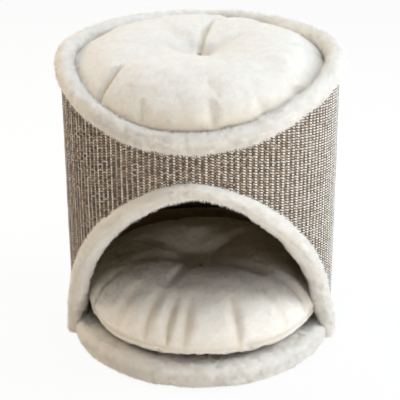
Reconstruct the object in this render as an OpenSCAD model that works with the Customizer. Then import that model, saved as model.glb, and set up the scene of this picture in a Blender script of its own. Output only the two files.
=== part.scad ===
// Round cat condo: a sisal covered tube with a plush den below and a sunken cushioned bed on top.
// Frame: origin on the floor under the tube's axis, +Z up, the doorway faces -Y.

/* [Tube] */
// Outer diameter of the sisal on the tube
sisal_d = 400; // [340:1:520]
// Height of the plush rim's highest point above the floor
rim_top_h = 450; // [440:1:600]
// Wall of the greyboard tube
tube_wall = 6; // [4:0.5:9]
// Thickness of the woven sisal
sisal_t = 5.7; // [4:0.1:8]

/* [Doorway] */
// Height of the doorway's cut edge above the floor
door_h = 311; // [250:1:320]
// Half of the doorway's opening at the floor, in degrees round the tube
door_half_angle = 80.5; // [60:0.5:86]
// Fullness of the doorway's outline across, 2 is an ellipse
door_across_power = 1.68; // [1.5:0.02:2.4]
// Fullness of the doorway's outline upwards, 2 is an ellipse
door_up_power = 1.2; // [1.1:0.02:2]

/* [Rim scoop] */
// Drop of the rim at the front, for stepping in
scoop_depth = 60; // [10:1:66]
// Half of the scoop's spread, in degrees round the tube
scoop_half_angle = 97; // [60:1:140]
// Turn of the scoop's middle away from the doorway's middle, in degrees
scoop_turn = -4.5; // [-12:0.5:12]

/* [Rolled trim] */
// Radius of the plush roll on the rim and on the doorway
roll_r = 14.5; // [13:0.1:17.5]
// Radius of the slit foam core in the roll
core_r = 9.6; // [8:0.1:11]

/* [Linings] */
// Thickness of the plush lining on the inner wall
lining_t = 4.5; // [2:0.1:8]
// Height above the floor of the den lining's top edge
den_lining_h = 112; // [60:1:200]

/* [Base] */
// Thickness of the base board
base_board_t = 16; // [10:0.5:22]
// Thickness of the foam over the base board
base_pad_t = 8; // [4:0.5:14]
// Thickness of the foam down the base's front edge
base_edge_pad_t = 4; // [2:0.5:10]
// Thickness of the plush on the base and the shelf
plush_t = 5; // [3:0.1:8]
// Depth of the base plush's turn-under below the board's front
turn_under = 26; // [12:1:34]
// Thickness of the felt floor pads
floor_pad_t = 4; // [3:0.5:8]
// Diameter of the felt floor pads
floor_pad_d = 34; // [20:1:44]
// Gap between the floor pads and the base plush's turn-under
floor_pad_clear = 11; // [4:0.5:30]

/* [Shelf] */
// Thickness of the shelf board that carries the top cushion
shelf_t = 12; // [9:0.5:16]

/* [Cushions] */
// Height of the top cushion's crown above its underside
top_crown_h = 116; // [70:1:130]
// Height of the den cushion's crown above its underside
den_crown_h = 90; // [60:1:120]
// Height of the top cushion's edge seam above its underside
top_seam_h = 36; // [15:1:60]
// Height of the den cushion's edge seam above its underside
den_seam_h = 17; // [12:1:30]
// Gap between the top cushion and the rim
top_cushion_gap = 3.5; // [2.5:0.5:20]
// Gap between the den cushion's widest line and the doorway's trim
den_cushion_gap = 3; // [2:0.5:20]
// Sideways rest of the top cushion in its bed, to the left
top_cushion_shift = 1; // [0:0.5:2]
// Rest of the den cushion ahead of the tube's axis, towards the doorway
den_cushion_forward = 7; // [0:0.5:12]
// Thickness of the cushions' plush panels
panel_t = 3; // [2:0.1:5]
// Depth of the sewn tuft at a cushion's centre
tuft_depth = 23; // [5:1:30]
// Spread of the sewn tuft from a cushion's centre
tuft_reach = 34; // [15:1:60]
// Depth of the folds that run out from the tuft
fold_depth = 11; // [2:1:14]
// Depth of the gathers above a cushion's edge seam
gather_depth = 5; // [1:0.5:7]

/* [Fasteners] */
// Diameter of a wood screw's shank
screw_d = 4; // [3:0.5:5]
// Length of a wood screw
screw_l = 34; // [25:1:45]
// Diameter of a countersunk screw head
screw_head_d = 8; // [7:0.5:10]
// Screws round the back of the base board
base_screw_count = 5; // [3:1:9]
// Screws round the shelf board
shelf_screw_count = 6; // [3:1:9]
// Diameter of the tufting cord
tie_d = 3; // [2:0.5:4]
// Diameter of the tufting cord's flat knots
tie_knot_d = 8; // [6:0.5:16]

/* [Hidden] */

// Clearances
layer_gap = 0.3;
slot_gap = 0.45;
hole_gap = 0.15;
trim_gap = 1;
filling_gap = 1;
shelf_over_trim = 1.5;
overrun = 5;

// Small sizes of the pieces
seam_slit = 0.8;
screw_head_h = 3.2;
tie_knot_t = 1.6;
tie_recess = 5;
tie_recess_r = 40;
under_t = 2.6;
base_lip_r = 6;

// Counts of facets on the faceted pieces
rim_steps = 64;
door_steps = 48;
back_steps = 40;
roll_arc_steps = 10;
cushion_turn_steps = 36;
$fn = 96;

// Radii of the wall's layers
sisal_r = sisal_d / 2;
sisal_in_r = sisal_r - sisal_t;
tube_r = sisal_in_r - layer_gap;
tube_in_r = tube_r - tube_wall;
wall_half_t = (sisal_r - tube_in_r) / 2;
wall_mid_r = tube_in_r + wall_half_t;
board_r = tube_in_r - layer_gap;
lining_r = board_r - lining_t;

// Heights of the layers, from the floor up
foot_z = floor_pad_t;
board_top = foot_z + base_board_t;
pad_z = board_top + layer_gap;
pad_top = pad_z + base_pad_t;
base_cover_z = pad_top + layer_gap;
base_top = base_cover_z + plush_t;
den_rest_z = base_top + layer_gap;
shelf_z = door_h + roll_r + shelf_over_trim;
shelf_top = shelf_z + shelf_t;
shelf_cover_z = shelf_top + layer_gap;
bed_z = shelf_cover_z + plush_t;
top_rest_z = bed_z + layer_gap;
rim_z = rim_top_h - roll_r;

// Base front, outside the tube's inner wall
pad_front_in_r = board_r + layer_gap;
pad_front_r = pad_front_in_r + base_edge_pad_t;
cover_front_in_r = pad_front_r + layer_gap;
cover_front_r = cover_front_in_r + plush_t;
under_z = foot_z - layer_gap - under_t;
base_cover_lip_r = base_lip_r + layer_gap + plush_t;
turn_under_r = cover_front_in_r - turn_under;
floor_pad_ring_r = turn_under_r - floor_pad_clear - floor_pad_d / 2;

// Doorway outline on the unrolled wall
degree = 180 / PI;
door_half_arc = wall_mid_r * door_half_angle / degree;
door_rise = door_h - foot_z;
function door_half_arc_at(z) =
    door_half_arc * pow(1 - pow((z - foot_z) / door_rise, door_up_power), 1 / door_across_power);
function door_clear_half_at(z) = wall_mid_r * sin(door_half_arc_at(z) / wall_mid_r * degree) - roll_r;
base_front_half_angle = (door_half_arc_at(base_top) - roll_r - trim_gap) / wall_mid_r * degree;

// Cushion sizes that follow the bed and the doorway
top_cushion_r = wall_mid_r - roll_r - top_cushion_gap;
den_cushion_r = door_clear_half_at(den_rest_z + den_seam_h) - den_cushion_gap;
tie_hole_r = tie_d / 2 + hole_gap;

// Share of a turn, then share of fold_depth, of each fold round the tuft
top_fold_shares = [
    [18 / 36, 1], [14 / 36, 0.6], [25 / 36, 0.55], [30 / 36, 0.7],
    [5 / 36, 0.4], [9 / 36, 0.35], [34 / 36, 0.3]
];
den_fold_shares = [
    [32 / 36, 1], [34 / 36, 0.6], [2 / 36, 0.45], [7 / 36, 0.5],
    [13 / 36, 0.6], [20 / 36, 0.55], [26 / 36, 0.5]
];
// Shares of the way from the tie hole to the edge seam at which a cushion's surface has a ring
top_line_shares = [0, 0.12, 0.36, 0.62, 0.84, 0.96, 1];
under_line_shares = [0, 0.6, 0.9, 1];
top_gather_count = 9;
den_gather_count = 12;
top_dome_power = 4.2;
den_dome_power = 3.1;
dome_root = 0.52;
under_power = 9;
fold_spread_share = 1 / 36;
fold_reach_share = 0.82;
gather_start_share = 0.62;
gather_waist_share = 0.012;

// Colours
cream = [0.93, 0.90, 0.85];
warm_cream = [0.90, 0.86, 0.79];
taupe = [0.33, 0.28, 0.22];
sisal_brown = [0.66, 0.58, 0.48];
greyboard = [0.42, 0.39, 0.31];
board_wood = [0.79, 0.66, 0.47];
foam_yellow = [0.93, 0.87, 0.66];
felt_grey = [0.36, 0.34, 0.32];
wadding_white = [0.95, 0.95, 0.94];
steel = [0.72, 0.72, 0.74];

function backwards(list) = [for (i = [len(list) - 1:-1:0]) list[i]];

// Wall edges: points [arc, height, normal across, normal up], the normal points into the opening

function wall_point(arc, z, out) =
    let (a = arc / wall_mid_r * degree, r = wall_mid_r + out) [r * sin(a), -r * cos(a), z];

function with_normal(point, tangent) =
    let (t = tangent / norm(tangent)) [point[0], point[1], t[1], -t[0]];

function door_point(a) =
    [-sign(cos(a)) * door_half_arc * pow(abs(cos(a)), 2 / door_across_power),
     foot_z + door_rise * pow(sin(a), 2 / door_up_power)];

function door_edge() =
    let (p = [for (i = [0:door_steps]) door_point(180 * i / door_steps)])
    [for (i = [0:door_steps]) with_normal(p[i],
        i == 0 ? [0, 1] : i == door_steps ? [0, -1] : p[i + 1] - p[i - 1])];

function rim_height(a) =
    let (off = abs((a - scoop_turn + 540) % 360 - 180), t = min(off / scoop_half_angle, 1))
    rim_z - scoop_depth * (1 + cos(180 * t)) / 2;

function rim_point(i) =
    let (a = 180 - 360 * i / rim_steps) [a / degree * wall_mid_r, rim_height(a)];

function rim_edge() =
    [for (i = [0:rim_steps - 1]) with_normal(rim_point(i), rim_point(i + 1) - rim_point(i - 1))];

function edge_moved(edge, into) =
    [for (e = edge) [e[0] + e[2] * into, e[1] + e[3] * into]];

// Closed solid through a row of rings; the caps list convex faces that fill an end ring,
// and swap splits each quad along its other diagonal
module strip_solid(rings, closed, caps = [], swap = false) {
    count = len(rings);
    sides = len(rings[0]);
    last = closed ? count - 1 : count - 2;
    walls = [for (i = [0:last], j = [0:sides - 1])
        let (a = i * sides, b = ((i + 1) % count) * sides, k = (j + 1) % sides)
        each swap ? [[a + j, b + j, a + k], [b + j, b + k, a + k]]
                  : [[a + j, b + j, b + k], [a + j, b + k, a + k]]];
    ends = closed ? [] : concat(caps,
        [for (face = caps) [for (j = backwards(face)) (count - 1) * sides + j]]);
    polyhedron(points = [for (ring = rings) each ring], faces = concat(walls, ends), convexity = 10);
}

// Roll along a wall edge, with its section given as [outwards, into the opening]
module edge_roll(edge, section, closed) {
    strip_solid([for (e = edge) [for (p = concat(section[0], backwards(section[1])))
        wall_point(e[0] + e[2] * p[1], e[1] + e[3] * p[1], p[0])]], closed, section_caps(section));
}

// Columns [arc, low height, high height] of a wall sheet that follows the tube
module wall_sheet(columns, inner, outer, closed) {
    strip_solid([for (c = columns) [
        wall_point(c[0], c[1], inner - wall_mid_r), wall_point(c[0], c[2], inner - wall_mid_r),
        wall_point(c[0], c[2], outer - wall_mid_r), wall_point(c[0], c[1], outer - wall_mid_r)]],
        closed, [[0, 1, 2, 3]]);
}

// Arcs round the back of the tube, between the right and the left end of an opening
function back_arcs(from) =
    let (span = 2 * PI * wall_mid_r - 2 * from)
    [for (i = [1:back_steps - 1]) from + span * i / back_steps];

function wall_columns() = concat(
    [for (e = door_edge()) [e[0], e[1], rim_height(e[0] / wall_mid_r * degree)]],
    [for (arc = back_arcs(door_half_arc)) [arc, foot_z, rim_height(arc / wall_mid_r * degree)]]);

function lining_right_edge() =
    [for (p = edge_moved(door_edge(), -roll_r - trim_gap)) if (p[0] > 0 && p[1] < den_lining_h - trim_gap)
        [p[0], max(p[1], den_rest_z), den_lining_h]];

function den_lining_columns() =
    let (right = lining_right_edge(), turn_arc = 2 * PI * wall_mid_r)
    concat(right,
        [for (arc = back_arcs(right[len(right) - 1][0])) [arc, den_rest_z, den_lining_h]],
        [for (c = backwards(right)) [turn_arc - c[0], c[1], c[2]]]);

function bed_lining_columns() =
    [for (p = backwards(edge_moved(rim_edge(), -roll_r - trim_gap))) [p[0], shelf_cover_z, p[1]]];

// Sections of the rolled trim, slit to straddle the wall: an outer and an inner line, point for point
slot_half = wall_half_t + slot_gap;
function section_arc(r) =
    let (reach = 180 - asin(slot_half / r))
    [for (i = [0:roll_arc_steps]) let (b = reach * (1 - 2 * i / roll_arc_steps)) r * [sin(b), cos(b)]];
function slot_wall(p) =
    abs(p[0]) < slot_half ? [p[0], layer_gap] : [sign(p[0]) * slot_half, min(p[1], layer_gap)];
function inner_points(line) = [for (i = [1:len(line) - 2]) line[i]];
function cover_section() = [section_arc(roll_r), section_arc(core_r + layer_gap)];
function core_section() =
    let (arc = section_arc(core_r)) [arc, [for (p = inner_points(arc)) slot_wall(p)]];
function section_caps(section) =
    let (n = len(section[0]), m = len(section[1]), skip = (n - m) / 2, last = n + m - 1 + skip)
    concat(
        [for (j = [skip:n - 2 - skip]) [j, j + 1, last - j - 1, last - j]],
        skip == 0 ? [] : [[0, 1, last - 1], [n - 2, n - 1, n]]);

// Pieces that repeat

module front_sector(half_angle) {
    rotate([0, 0, -90 - half_angle]) rotate_extrude(angle = 2 * half_angle) children();
}

// Square in the half plane of a revolve, with its top outer corner rounded
module lipped_square(r0, r1, z0, z1, lip) {
    translate([r0, z0]) square([r1 - r0 - lip, z1 - z0]);
    translate([r0, z0]) square([r1 - r0, z1 - z0 - lip]);
    translate([r1 - lip, z1 - lip]) circle(r = lip);
}

module at_base_screws() {
    step = (360 - 2 * door_half_angle) / (base_screw_count + 1);
    for (i = [1:base_screw_count])
        rotate([0, 0, door_half_angle + i * step])
            translate([0, -tube_r, foot_z + base_board_t / 2]) children();
}

module at_shelf_screws() {
    step = 360 / shelf_screw_count;
    for (i = [0:shelf_screw_count - 1])
        rotate([0, 0, (i + 1 / 2) * step])
            translate([0, -tube_r, shelf_z + shelf_t / 2]) children();
}

// Countersunk wood screw that points to +Y from a head flush with the tube, grown by a clearance
module wood_screw(clearance) {
    rotate([-90, 0, 0]) {
        translate([0, 0, hole_gap - clearance])
            cylinder(r1 = screw_head_d / 2 + clearance, r2 = screw_d / 2 + clearance, h = screw_head_h);
        translate([0, 0, hole_gap]) cylinder(d = screw_d + 2 * clearance, h = screw_l + clearance);
    }
}

module wood_screw_hole() {
    wood_screw(hole_gap);
    rotate([90, 0, 0]) cylinder(r = screw_head_d / 2 + hole_gap, h = overrun);
}

// Cushion surfaces: share runs from the tie hole to the edge seam, turn in degrees from the front

function bell(x, spread) = exp(-x * x / (spread * spread));
function turn_gap(a, b) = let (d = abs(a - b) % 1) min(d, 1 - d);

function folds(turn, share, table) =
    max([for (f = table) f[1] * max(1 - turn_gap(turn / 360, f[0]) / fold_spread_share, 0)])
    * fold_depth * max(1 - share / fold_reach_share, 0) * min(share / (1 - fold_reach_share), 1);

function gather_wave(turn, count) = (1 - cos(count * turn)) / 2;
function gathers(turn, share, count) =
    let (way = max(share - gather_start_share, 0) / (1 - gather_start_share))
    gather_depth * gather_wave(turn, count) * sin(180 * way);

// Cushion: radius, crown height, seam height, gather count, fold table and dome power in one list
function cushion_edge(c, turn, inset) = c[0] * (1 - gather_waist_share * gather_wave(turn, c[3])) - inset;
function cushion_out(c, turn, share, inset) =
    tie_hole_r + share * (cushion_edge(c, turn, inset) - tie_hole_r);
function cushion_top_z(c, turn, share, inset) =
    c[2] + (c[1] - inset - c[2]) * pow(1 - pow(share, c[5]), dome_root)
    - tuft_depth * bell(cushion_out(c, turn, share, inset), tuft_reach)
    - folds(turn, share, c[4]) - gathers(turn, share, c[3]);
function cushion_under_z(c, turn, share, inset) =
    inset + (c[2] - inset) * (1 - sqrt(1 - pow(share, under_power)))
    + tie_recess * bell(cushion_out(c, turn, share, inset), tie_recess_r);

function polar(r, turn, z) = [r * sin(turn), -r * cos(turn), z];

// Radial sections of the cushion's pieces, from the hole out over the top and back below
function top_line(c, turn, inset, lift) = [for (s = top_line_shares)
    polar(cushion_out(c, turn, s, inset), turn, cushion_top_z(c, turn, s, inset) + lift)];
function under_line(c, turn, inset, lift) = [for (s = under_line_shares)
    polar(cushion_out(c, turn, s, inset), turn, cushion_under_z(c, turn, s, inset) + lift)];
function without_first(list) = [for (i = [1:len(list) - 1]) list[i]];
function cushion_turns() = [for (i = [0:cushion_turn_steps - 1]) 360 * i / cushion_turn_steps];

module cushion_upper(c) {
    strip_solid([for (a = cushion_turns()) concat(
        top_line(c, a, panel_t, layer_gap / 2), backwards(top_line(c, a, 0, layer_gap / 2)))], true);
}

module cushion_lower(c) {
    strip_solid([for (a = cushion_turns()) concat(
        under_line(c, a, 0, -layer_gap / 2), backwards(under_line(c, a, panel_t, -layer_gap / 2)))], true);
}

module cushion_filling(c) {
    inset = panel_t + filling_gap;
    strip_solid([for (a = cushion_turns()) concat(
        under_line(c, a, inset, 0), without_first(backwards(top_line(c, a, inset, 0))))], true, swap = true);
}

// Height of a radial line's first facet below or above the rim of a knot
function knot_seat_z(line) =
    let (r0 = norm([line[0][0], line[0][1]]), r1 = norm([line[1][0], line[1][1]]))
    line[0][2] + (line[1][2] - line[0][2]) * (tie_knot_d / 2 - r0) / (r1 - r0);

module cushion_tie(c) {
    knot_z = max([for (a = cushion_turns()) knot_seat_z(top_line(c, a, 0, layer_gap))]);
    under_knot_z = -tie_knot_t
        + min([for (a = cushion_turns()) knot_seat_z(under_line(c, a, 0, -layer_gap))]);
    translate([0, 0, under_knot_z]) cylinder(d = tie_d, h = knot_z + tie_knot_t - under_knot_z);
    translate([0, 0, under_knot_z]) cylinder(d = tie_knot_d, h = tie_knot_t);
    translate([0, 0, knot_z]) cylinder(d = tie_knot_d, h = tie_knot_t);
}

top_cushion = [top_cushion_r, top_crown_h, top_seam_h, top_gather_count, top_fold_shares, top_dome_power];
den_cushion = [den_cushion_r, den_crown_h, den_seam_h, den_gather_count, den_fold_shares, den_dome_power];

module at_top_bed() {
    translate([-top_cushion_shift, 0, top_rest_z + layer_gap / 2]) children();
}

module at_den() {
    translate([0, -den_cushion_forward, den_rest_z + layer_gap / 2]) children();
}

// Base

module base_board() {
    color(board_wood) difference() {
        translate([0, 0, foot_z]) cylinder(r = board_r, h = base_board_t);
        at_base_screws() wood_screw_hole();
    }
}

module base_pad() {
    color(foam_yellow) {
        translate([0, 0, pad_z]) cylinder(r = board_r, h = base_pad_t);
        front_sector(base_front_half_angle) difference() {
            lipped_square(lining_r, pad_front_r, foot_z, pad_top, base_lip_r);
            square([pad_front_in_r, pad_z]);
        }
    }
}

// Section of the base plush: over the foam, down the front and a little way under the board
module base_cover_section() {
    difference() {
        union() {
            lipped_square(lining_r, cover_front_r, under_z + base_lip_r, base_top, base_cover_lip_r);
            mirror([0, 1])
                lipped_square(lining_r, cover_front_r, -under_z - 2 * base_lip_r, -under_z, base_lip_r);
            translate([turn_under_r, under_z]) square([turn_under, under_t]);
        }
        lipped_square(0, cover_front_in_r, foot_z - layer_gap, base_cover_z, base_lip_r + layer_gap);
        translate([0, under_z - overrun]) square([turn_under_r, base_cover_z - under_z + overrun]);
    }
}

module base_cover() {
    color(cream) {
        translate([0, 0, base_cover_z]) cylinder(r = board_r, h = plush_t);
        front_sector(base_front_half_angle) base_cover_section();
    }
}

module floor_pads() {
    color(felt_grey) {
        cylinder(d = floor_pad_d, h = floor_pad_t);
        for (a = [0:60:300]) rotate([0, 0, a]) translate([0, floor_pad_ring_r, 0])
            cylinder(d = floor_pad_d, h = floor_pad_t);
    }
}

module base_screws() {
    color(steel) at_base_screws() wood_screw(0);
}

// Tube and its coverings

module tube_shell() {
    color(greyboard) difference() {
        wall_sheet(wall_columns(), tube_in_r, tube_r, true);
        at_base_screws() wood_screw_hole();
        at_shelf_screws() wood_screw_hole();
    }
}

module sisal_wrap() {
    color(sisal_brown) difference() {
        wall_sheet(wall_columns(), sisal_in_r, sisal_r, true);
        translate([-seam_slit / 2, 0, 0]) cube([seam_slit, sisal_r + overrun, rim_top_h]);
    }
}

module den_lining() {
    color(taupe) wall_sheet(den_lining_columns(), lining_r, board_r, false);
}

module bed_lining() {
    color(warm_cream) wall_sheet(bed_lining_columns(), lining_r, board_r, true);
}

module shelf_board() {
    color(board_wood) difference() {
        translate([0, 0, shelf_z]) cylinder(r = board_r, h = shelf_t);
        at_shelf_screws() wood_screw_hole();
    }
}

module shelf_cover() {
    color(cream) translate([0, 0, shelf_cover_z]) cylinder(r = lining_r - layer_gap, h = plush_t);
}

module shelf_screws() {
    color(steel) at_shelf_screws() wood_screw(0);
}

// Rolled trim

module rim_core() {
    color(foam_yellow) edge_roll(rim_edge(), core_section(), true);
}

module rim_cover() {
    color(cream) edge_roll(rim_edge(), cover_section(), true);
}

// Inside the tube the doorway's trim stops above the base
module clear_of_base() {
    reach = roll_r + overrun;
    difference() {
        children();
        for (side = [-1, 1])
            rotate([0, 0, side * door_half_angle])
                translate([-2 * reach, layer_gap / 2 - tube_in_r, -overrun])
                    cube([4 * reach, 2 * reach, den_rest_z + overrun]);
    }
}

module arch_core() {
    color(foam_yellow) clear_of_base() edge_roll(door_edge(), core_section(), false);
}

module arch_cover() {
    color(cream) clear_of_base() edge_roll(door_edge(), cover_section(), false);
}

// Cushions

module top_cushion_upper() {
    color(cream) at_top_bed() cushion_upper(top_cushion);
}

module top_cushion_lower() {
    color(warm_cream) at_top_bed() cushion_lower(top_cushion);
}

module top_cushion_filling() {
    color(wadding_white) at_top_bed() cushion_filling(top_cushion);
}

module top_cushion_tie() {
    color(warm_cream) at_top_bed() cushion_tie(top_cushion);
}

module den_cushion_upper() {
    color(cream) at_den() cushion_upper(den_cushion);
}

module den_cushion_lower() {
    color(warm_cream) at_den() cushion_lower(den_cushion);
}

module den_cushion_filling() {
    color(wadding_white) at_den() cushion_filling(den_cushion);
}

module den_cushion_tie() {
    color(warm_cream) at_den() cushion_tie(den_cushion);
}

base_board();
base_pad();
base_cover();
floor_pads();
base_screws();
tube_shell();
sisal_wrap();
den_lining();
bed_lining();
shelf_board();
shelf_cover();
shelf_screws();
rim_core();
rim_cover();
arch_core();
arch_cover();
top_cushion_upper();
top_cushion_lower();
top_cushion_filling();
top_cushion_tie();
den_cushion_upper();
den_cushion_lower();
den_cushion_filling();
den_cushion_tie();
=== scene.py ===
"""Round cat condo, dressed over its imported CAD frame.

A sisal covered tube stands on a plush base. An arched doorway leads to a den with a loose cushion,
and a scooped, rolled rim runs round a sunken bed with a tufted cushion. All lengths are in metres.
"""

import logging
import math
from dataclasses import dataclass
from enum import Enum
from typing import Callable, Optional, Sequence

import bpy
import numpy as np
from mathutils import Matrix, Vector


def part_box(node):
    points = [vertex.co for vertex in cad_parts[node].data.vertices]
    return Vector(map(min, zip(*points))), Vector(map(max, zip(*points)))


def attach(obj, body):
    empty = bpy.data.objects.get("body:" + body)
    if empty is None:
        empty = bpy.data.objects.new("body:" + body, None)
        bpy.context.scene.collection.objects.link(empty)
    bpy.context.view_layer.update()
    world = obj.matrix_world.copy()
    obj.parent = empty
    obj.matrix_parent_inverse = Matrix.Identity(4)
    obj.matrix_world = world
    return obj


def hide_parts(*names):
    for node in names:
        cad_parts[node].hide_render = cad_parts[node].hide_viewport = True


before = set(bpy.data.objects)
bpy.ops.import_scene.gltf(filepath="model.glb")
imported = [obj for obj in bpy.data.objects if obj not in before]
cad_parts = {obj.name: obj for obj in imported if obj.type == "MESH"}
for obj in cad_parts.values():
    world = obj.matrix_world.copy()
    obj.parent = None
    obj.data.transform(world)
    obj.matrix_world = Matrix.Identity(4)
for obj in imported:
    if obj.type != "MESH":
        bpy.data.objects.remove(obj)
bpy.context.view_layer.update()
LOG = logging.getLogger("cat_condo")
BAKE_MAP = "OFBake"
Array = np.ndarray
Field = Callable[[Array], Array]


class Body(Enum):
    """The CAD bodies that pieces ride on."""

    CONDO = "condo"
    TOP_CUSHION = "top_cushion"
    DEN_CUSHION = "den_cushion"


class Slot(Enum):
    """The record's material slots."""

    CREAM_PLUSH = "cream_plush"
    TAUPE_PLUSH = "taupe_plush"
    SISAL = "sisal"
    TIE_CORD = "tie_cord"


# Arithmetic on whole arrays


def smooth_step(x: Array, low: float, high: float) -> Array:
    """Rises smoothly from 0 at low to 1 at high.

    Args:
        x: Values to map.
        low: Value that gives 0.
        high: Value that gives 1.

    Returns:
        The cubic 3t^2 - 2t^3 of the clipped share t of the way.
    """
    t = np.clip((x - low) / (high - low), 0.0, 1.0)
    return t * t * (3.0 - 2.0 * t)


def bell(x: Array, width: float) -> Array:
    """The bell curve exp(-(x / width)^2)."""
    return np.exp(-np.square(x / width))


def unit(v: Array) -> Array:
    """Vectors scaled to length one."""
    return v / np.maximum(np.linalg.norm(v, axis=-1, keepdims=True), 1e-12)


def lattice_noise(points: Array, cell: float, seed: int) -> Array:
    """Smooth noise: a random value at each corner of a cubic lattice, blended across each cell.

    Args:
        points: Places, shape (..., 3).
        cell: Edge of a lattice cell.
        seed: Picks the noise.

    Returns:
        Values from -1 to 1, shape (...).
    """
    at = points / cell + 1000.0
    low = np.floor(at).astype(np.int64)
    t = at - low
    t = t * t * (3.0 - 2.0 * t)
    total = np.zeros(at.shape[:-1])
    for corner in np.ndindex(2, 2, 2):
        key = low + np.array(corner)
        h = key[..., 0] * 73856093 ^ key[..., 1] * 19349663 ^ key[..., 2] * 83492791 ^ seed * 2654435761
        h = (h ^ (h >> 15)) * 2246822519 & 0xFFFFFFFF
        h = (h ^ (h >> 13)) * 3266489917 & 0xFFFFFFFF
        value = ((h ^ (h >> 16)) & 0xFFFFFF) / float(0x7FFFFF) - 1.0
        share = np.where(np.array(corner) == 1, t, 1.0 - t).prod(axis=-1)
        total += value * share
    return total


def grid_quads(rows: int, cols: int, wrap_rows: bool = False, wrap_cols: bool = False) -> Array:
    """Quads of a grid whose vertices run row by row.

    Args:
        rows: Count of rows of vertices.
        cols: Count of vertices in a row.
        wrap_rows: Joins the last row to the first.
        wrap_cols: Joins the last column to the first.

    Returns:
        Vertex numbers, shape (quads, 4).
    """
    r, c = np.meshgrid(
        np.arange(rows if wrap_rows else rows - 1), np.arange(cols if wrap_cols else cols - 1), indexing="ij")
    r2, c2 = (r + 1) % rows, (c + 1) % cols
    return np.stack([r * cols + c, r2 * cols + c, r2 * cols + c2, r * cols + c2], -1).reshape(-1, 4)


def face_vectors(verts: Array, faces: Array) -> tuple[Array, Array]:
    """Middles and area vectors of quads or triangles.

    Args:
        verts: Places, shape (n, 3).
        faces: Vertex numbers, shape (m, 3 or 4).

    Returns:
        The faces' middles, and normals whose length is the face's area.
    """
    p = verts[faces]
    if faces.shape[1] == 4:
        return p.mean(axis=1), np.cross(p[:, 2] - p[:, 0], p[:, 3] - p[:, 1]) / 2.0
    return p.mean(axis=1), np.cross(p[:, 1] - p[:, 0], p[:, 2] - p[:, 0]) / 2.0


def vertex_normals(verts: Array, faces: Array) -> Array:
    """Normals at the vertices, each the sum of its faces' area vectors.

    Args:
        verts: Places, shape (n, 3).
        faces: Vertex numbers, shape (m, 3 or 4).

    Returns:
        Unit normals, shape (n, 3).
    """
    area = face_vectors(verts, faces)[1]
    total = np.zeros_like(verts)
    for corner in range(faces.shape[1]):
        np.add.at(total, faces[:, corner], area)
    return unit(total)


def used_only(verts: Array, faces: Array, *values: Array) -> tuple[Array, ...]:
    """Drops vertices that no face uses.

    Args:
        verts: Places of all vertices.
        faces: Faces that are kept.
        values: Further values of all vertices.

    Returns:
        The kept places, the renumbered faces and the kept values.
    """
    kept, numbers = np.unique(faces, return_inverse=True)
    return (verts[kept], numbers.reshape(faces.shape), *(v[kept] for v in values))


@dataclass(frozen=True)
class Lumps:
    """Unevenness of a soft surface: broad and small noise added up.

    Attributes:
        broad: Height of the broad lumps.
        broad_cell: Size of the broad lumps.
        small: Height of the small lumps.
        small_cell: Size of the small lumps.
    """

    broad: float
    broad_cell: float
    small: float
    small_cell: float

    def at(self, points: Array, seed: int) -> Array:
        """Heights of the lumps.

        Args:
            points: Places, shape (..., 3).
            seed: Picks the noise.

        Returns:
            Heights, shape (...).
        """
        broad = self.broad * lattice_noise(points, self.broad_cell, seed)
        return broad + self.small * lattice_noise(points, self.small_cell, seed + 1)


@dataclass
class Skin:
    """A surface in arrays, as it goes into a mesh and carries a pile.

    Attributes:
        verts: Places of the vertices.
        faces: Quads.
        crease: How deep in a fold or seam each vertex is, from 0 to 1, and so how much painted crease shade
            it gets, with painted shade also at a tuft, a pressed edge and a shaded lining.
        furred: How thick the pile grows at each vertex, from 0 to 1.
    """

    verts: Array
    faces: Array
    crease: Array
    furred: Array

    def outwards(self) -> "Skin":
        """Turns the faces of a closed surface to point outwards, and gives this skin back."""
        return self.facing(lambda middle: middle)

    def facing(self, away: Field) -> "Skin":
        """Turns the faces of a surface to one side.

        Args:
            away: Gives the way to that side at the faces' middles.

        Returns:
            This skin.
        """
        middle, area = face_vectors(self.verts, self.faces)
        if (away(middle) * area).sum() < 0.0:
            self.faces = self.faces[:, ::-1]
        return self

    def swollen(self, amount: Array) -> "Skin":
        """Moves each vertex along its normal.

        Args:
            amount: How far each vertex moves.

        Returns:
            This skin.
        """
        self.verts = self.verts + vertex_normals(self.verts, self.faces) * amount[:, None]
        return self


# Meshes


def new_mesh(name: str, verts: Array, faces: Array) -> bpy.types.Mesh:
    """Makes a smooth shaded mesh from arrays.

    Args:
        name: The mesh's name.
        verts: Places, shape (n, 3).
        faces: Vertex numbers, shape (m, corners).

    Returns:
        The mesh.
    """
    mesh = bpy.data.meshes.new(name)
    mesh.vertices.add(len(verts))
    mesh.vertices.foreach_set("co", np.ascontiguousarray(verts, np.float32).ravel())
    mesh.loops.add(faces.size)
    mesh.loops.foreach_set("vertex_index", np.ascontiguousarray(faces, np.int32).ravel())
    mesh.polygons.add(len(faces))
    mesh.polygons.foreach_set("loop_start", np.arange(0, faces.size, faces.shape[1], dtype=np.int32))
    mesh.update(calc_edges=True)
    mesh.shade_smooth()
    return mesh


def add_values(mesh: bpy.types.Mesh, name: str, values: Array) -> None:
    """Keeps one number for each vertex as a named attribute.

    Args:
        mesh: The mesh that gets it.
        name: The attribute's name.
        values: One number for each vertex.
    """
    layer = mesh.attributes.new(name, "FLOAT", "POINT")
    layer.data.foreach_set("value", np.ascontiguousarray(values, np.float32))


def add_map(mesh: bpy.types.Mesh, corners: Array) -> None:
    """Keeps a UV map.

    Args:
        mesh: The mesh that gets it.
        corners: Places on the map, one for each face corner, shape (loops, 2).
    """
    layer = mesh.uv_layers.new(name=BAKE_MAP)
    layer.uv.foreach_set("vector", np.ascontiguousarray(corners, np.float32).ravel())


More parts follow.
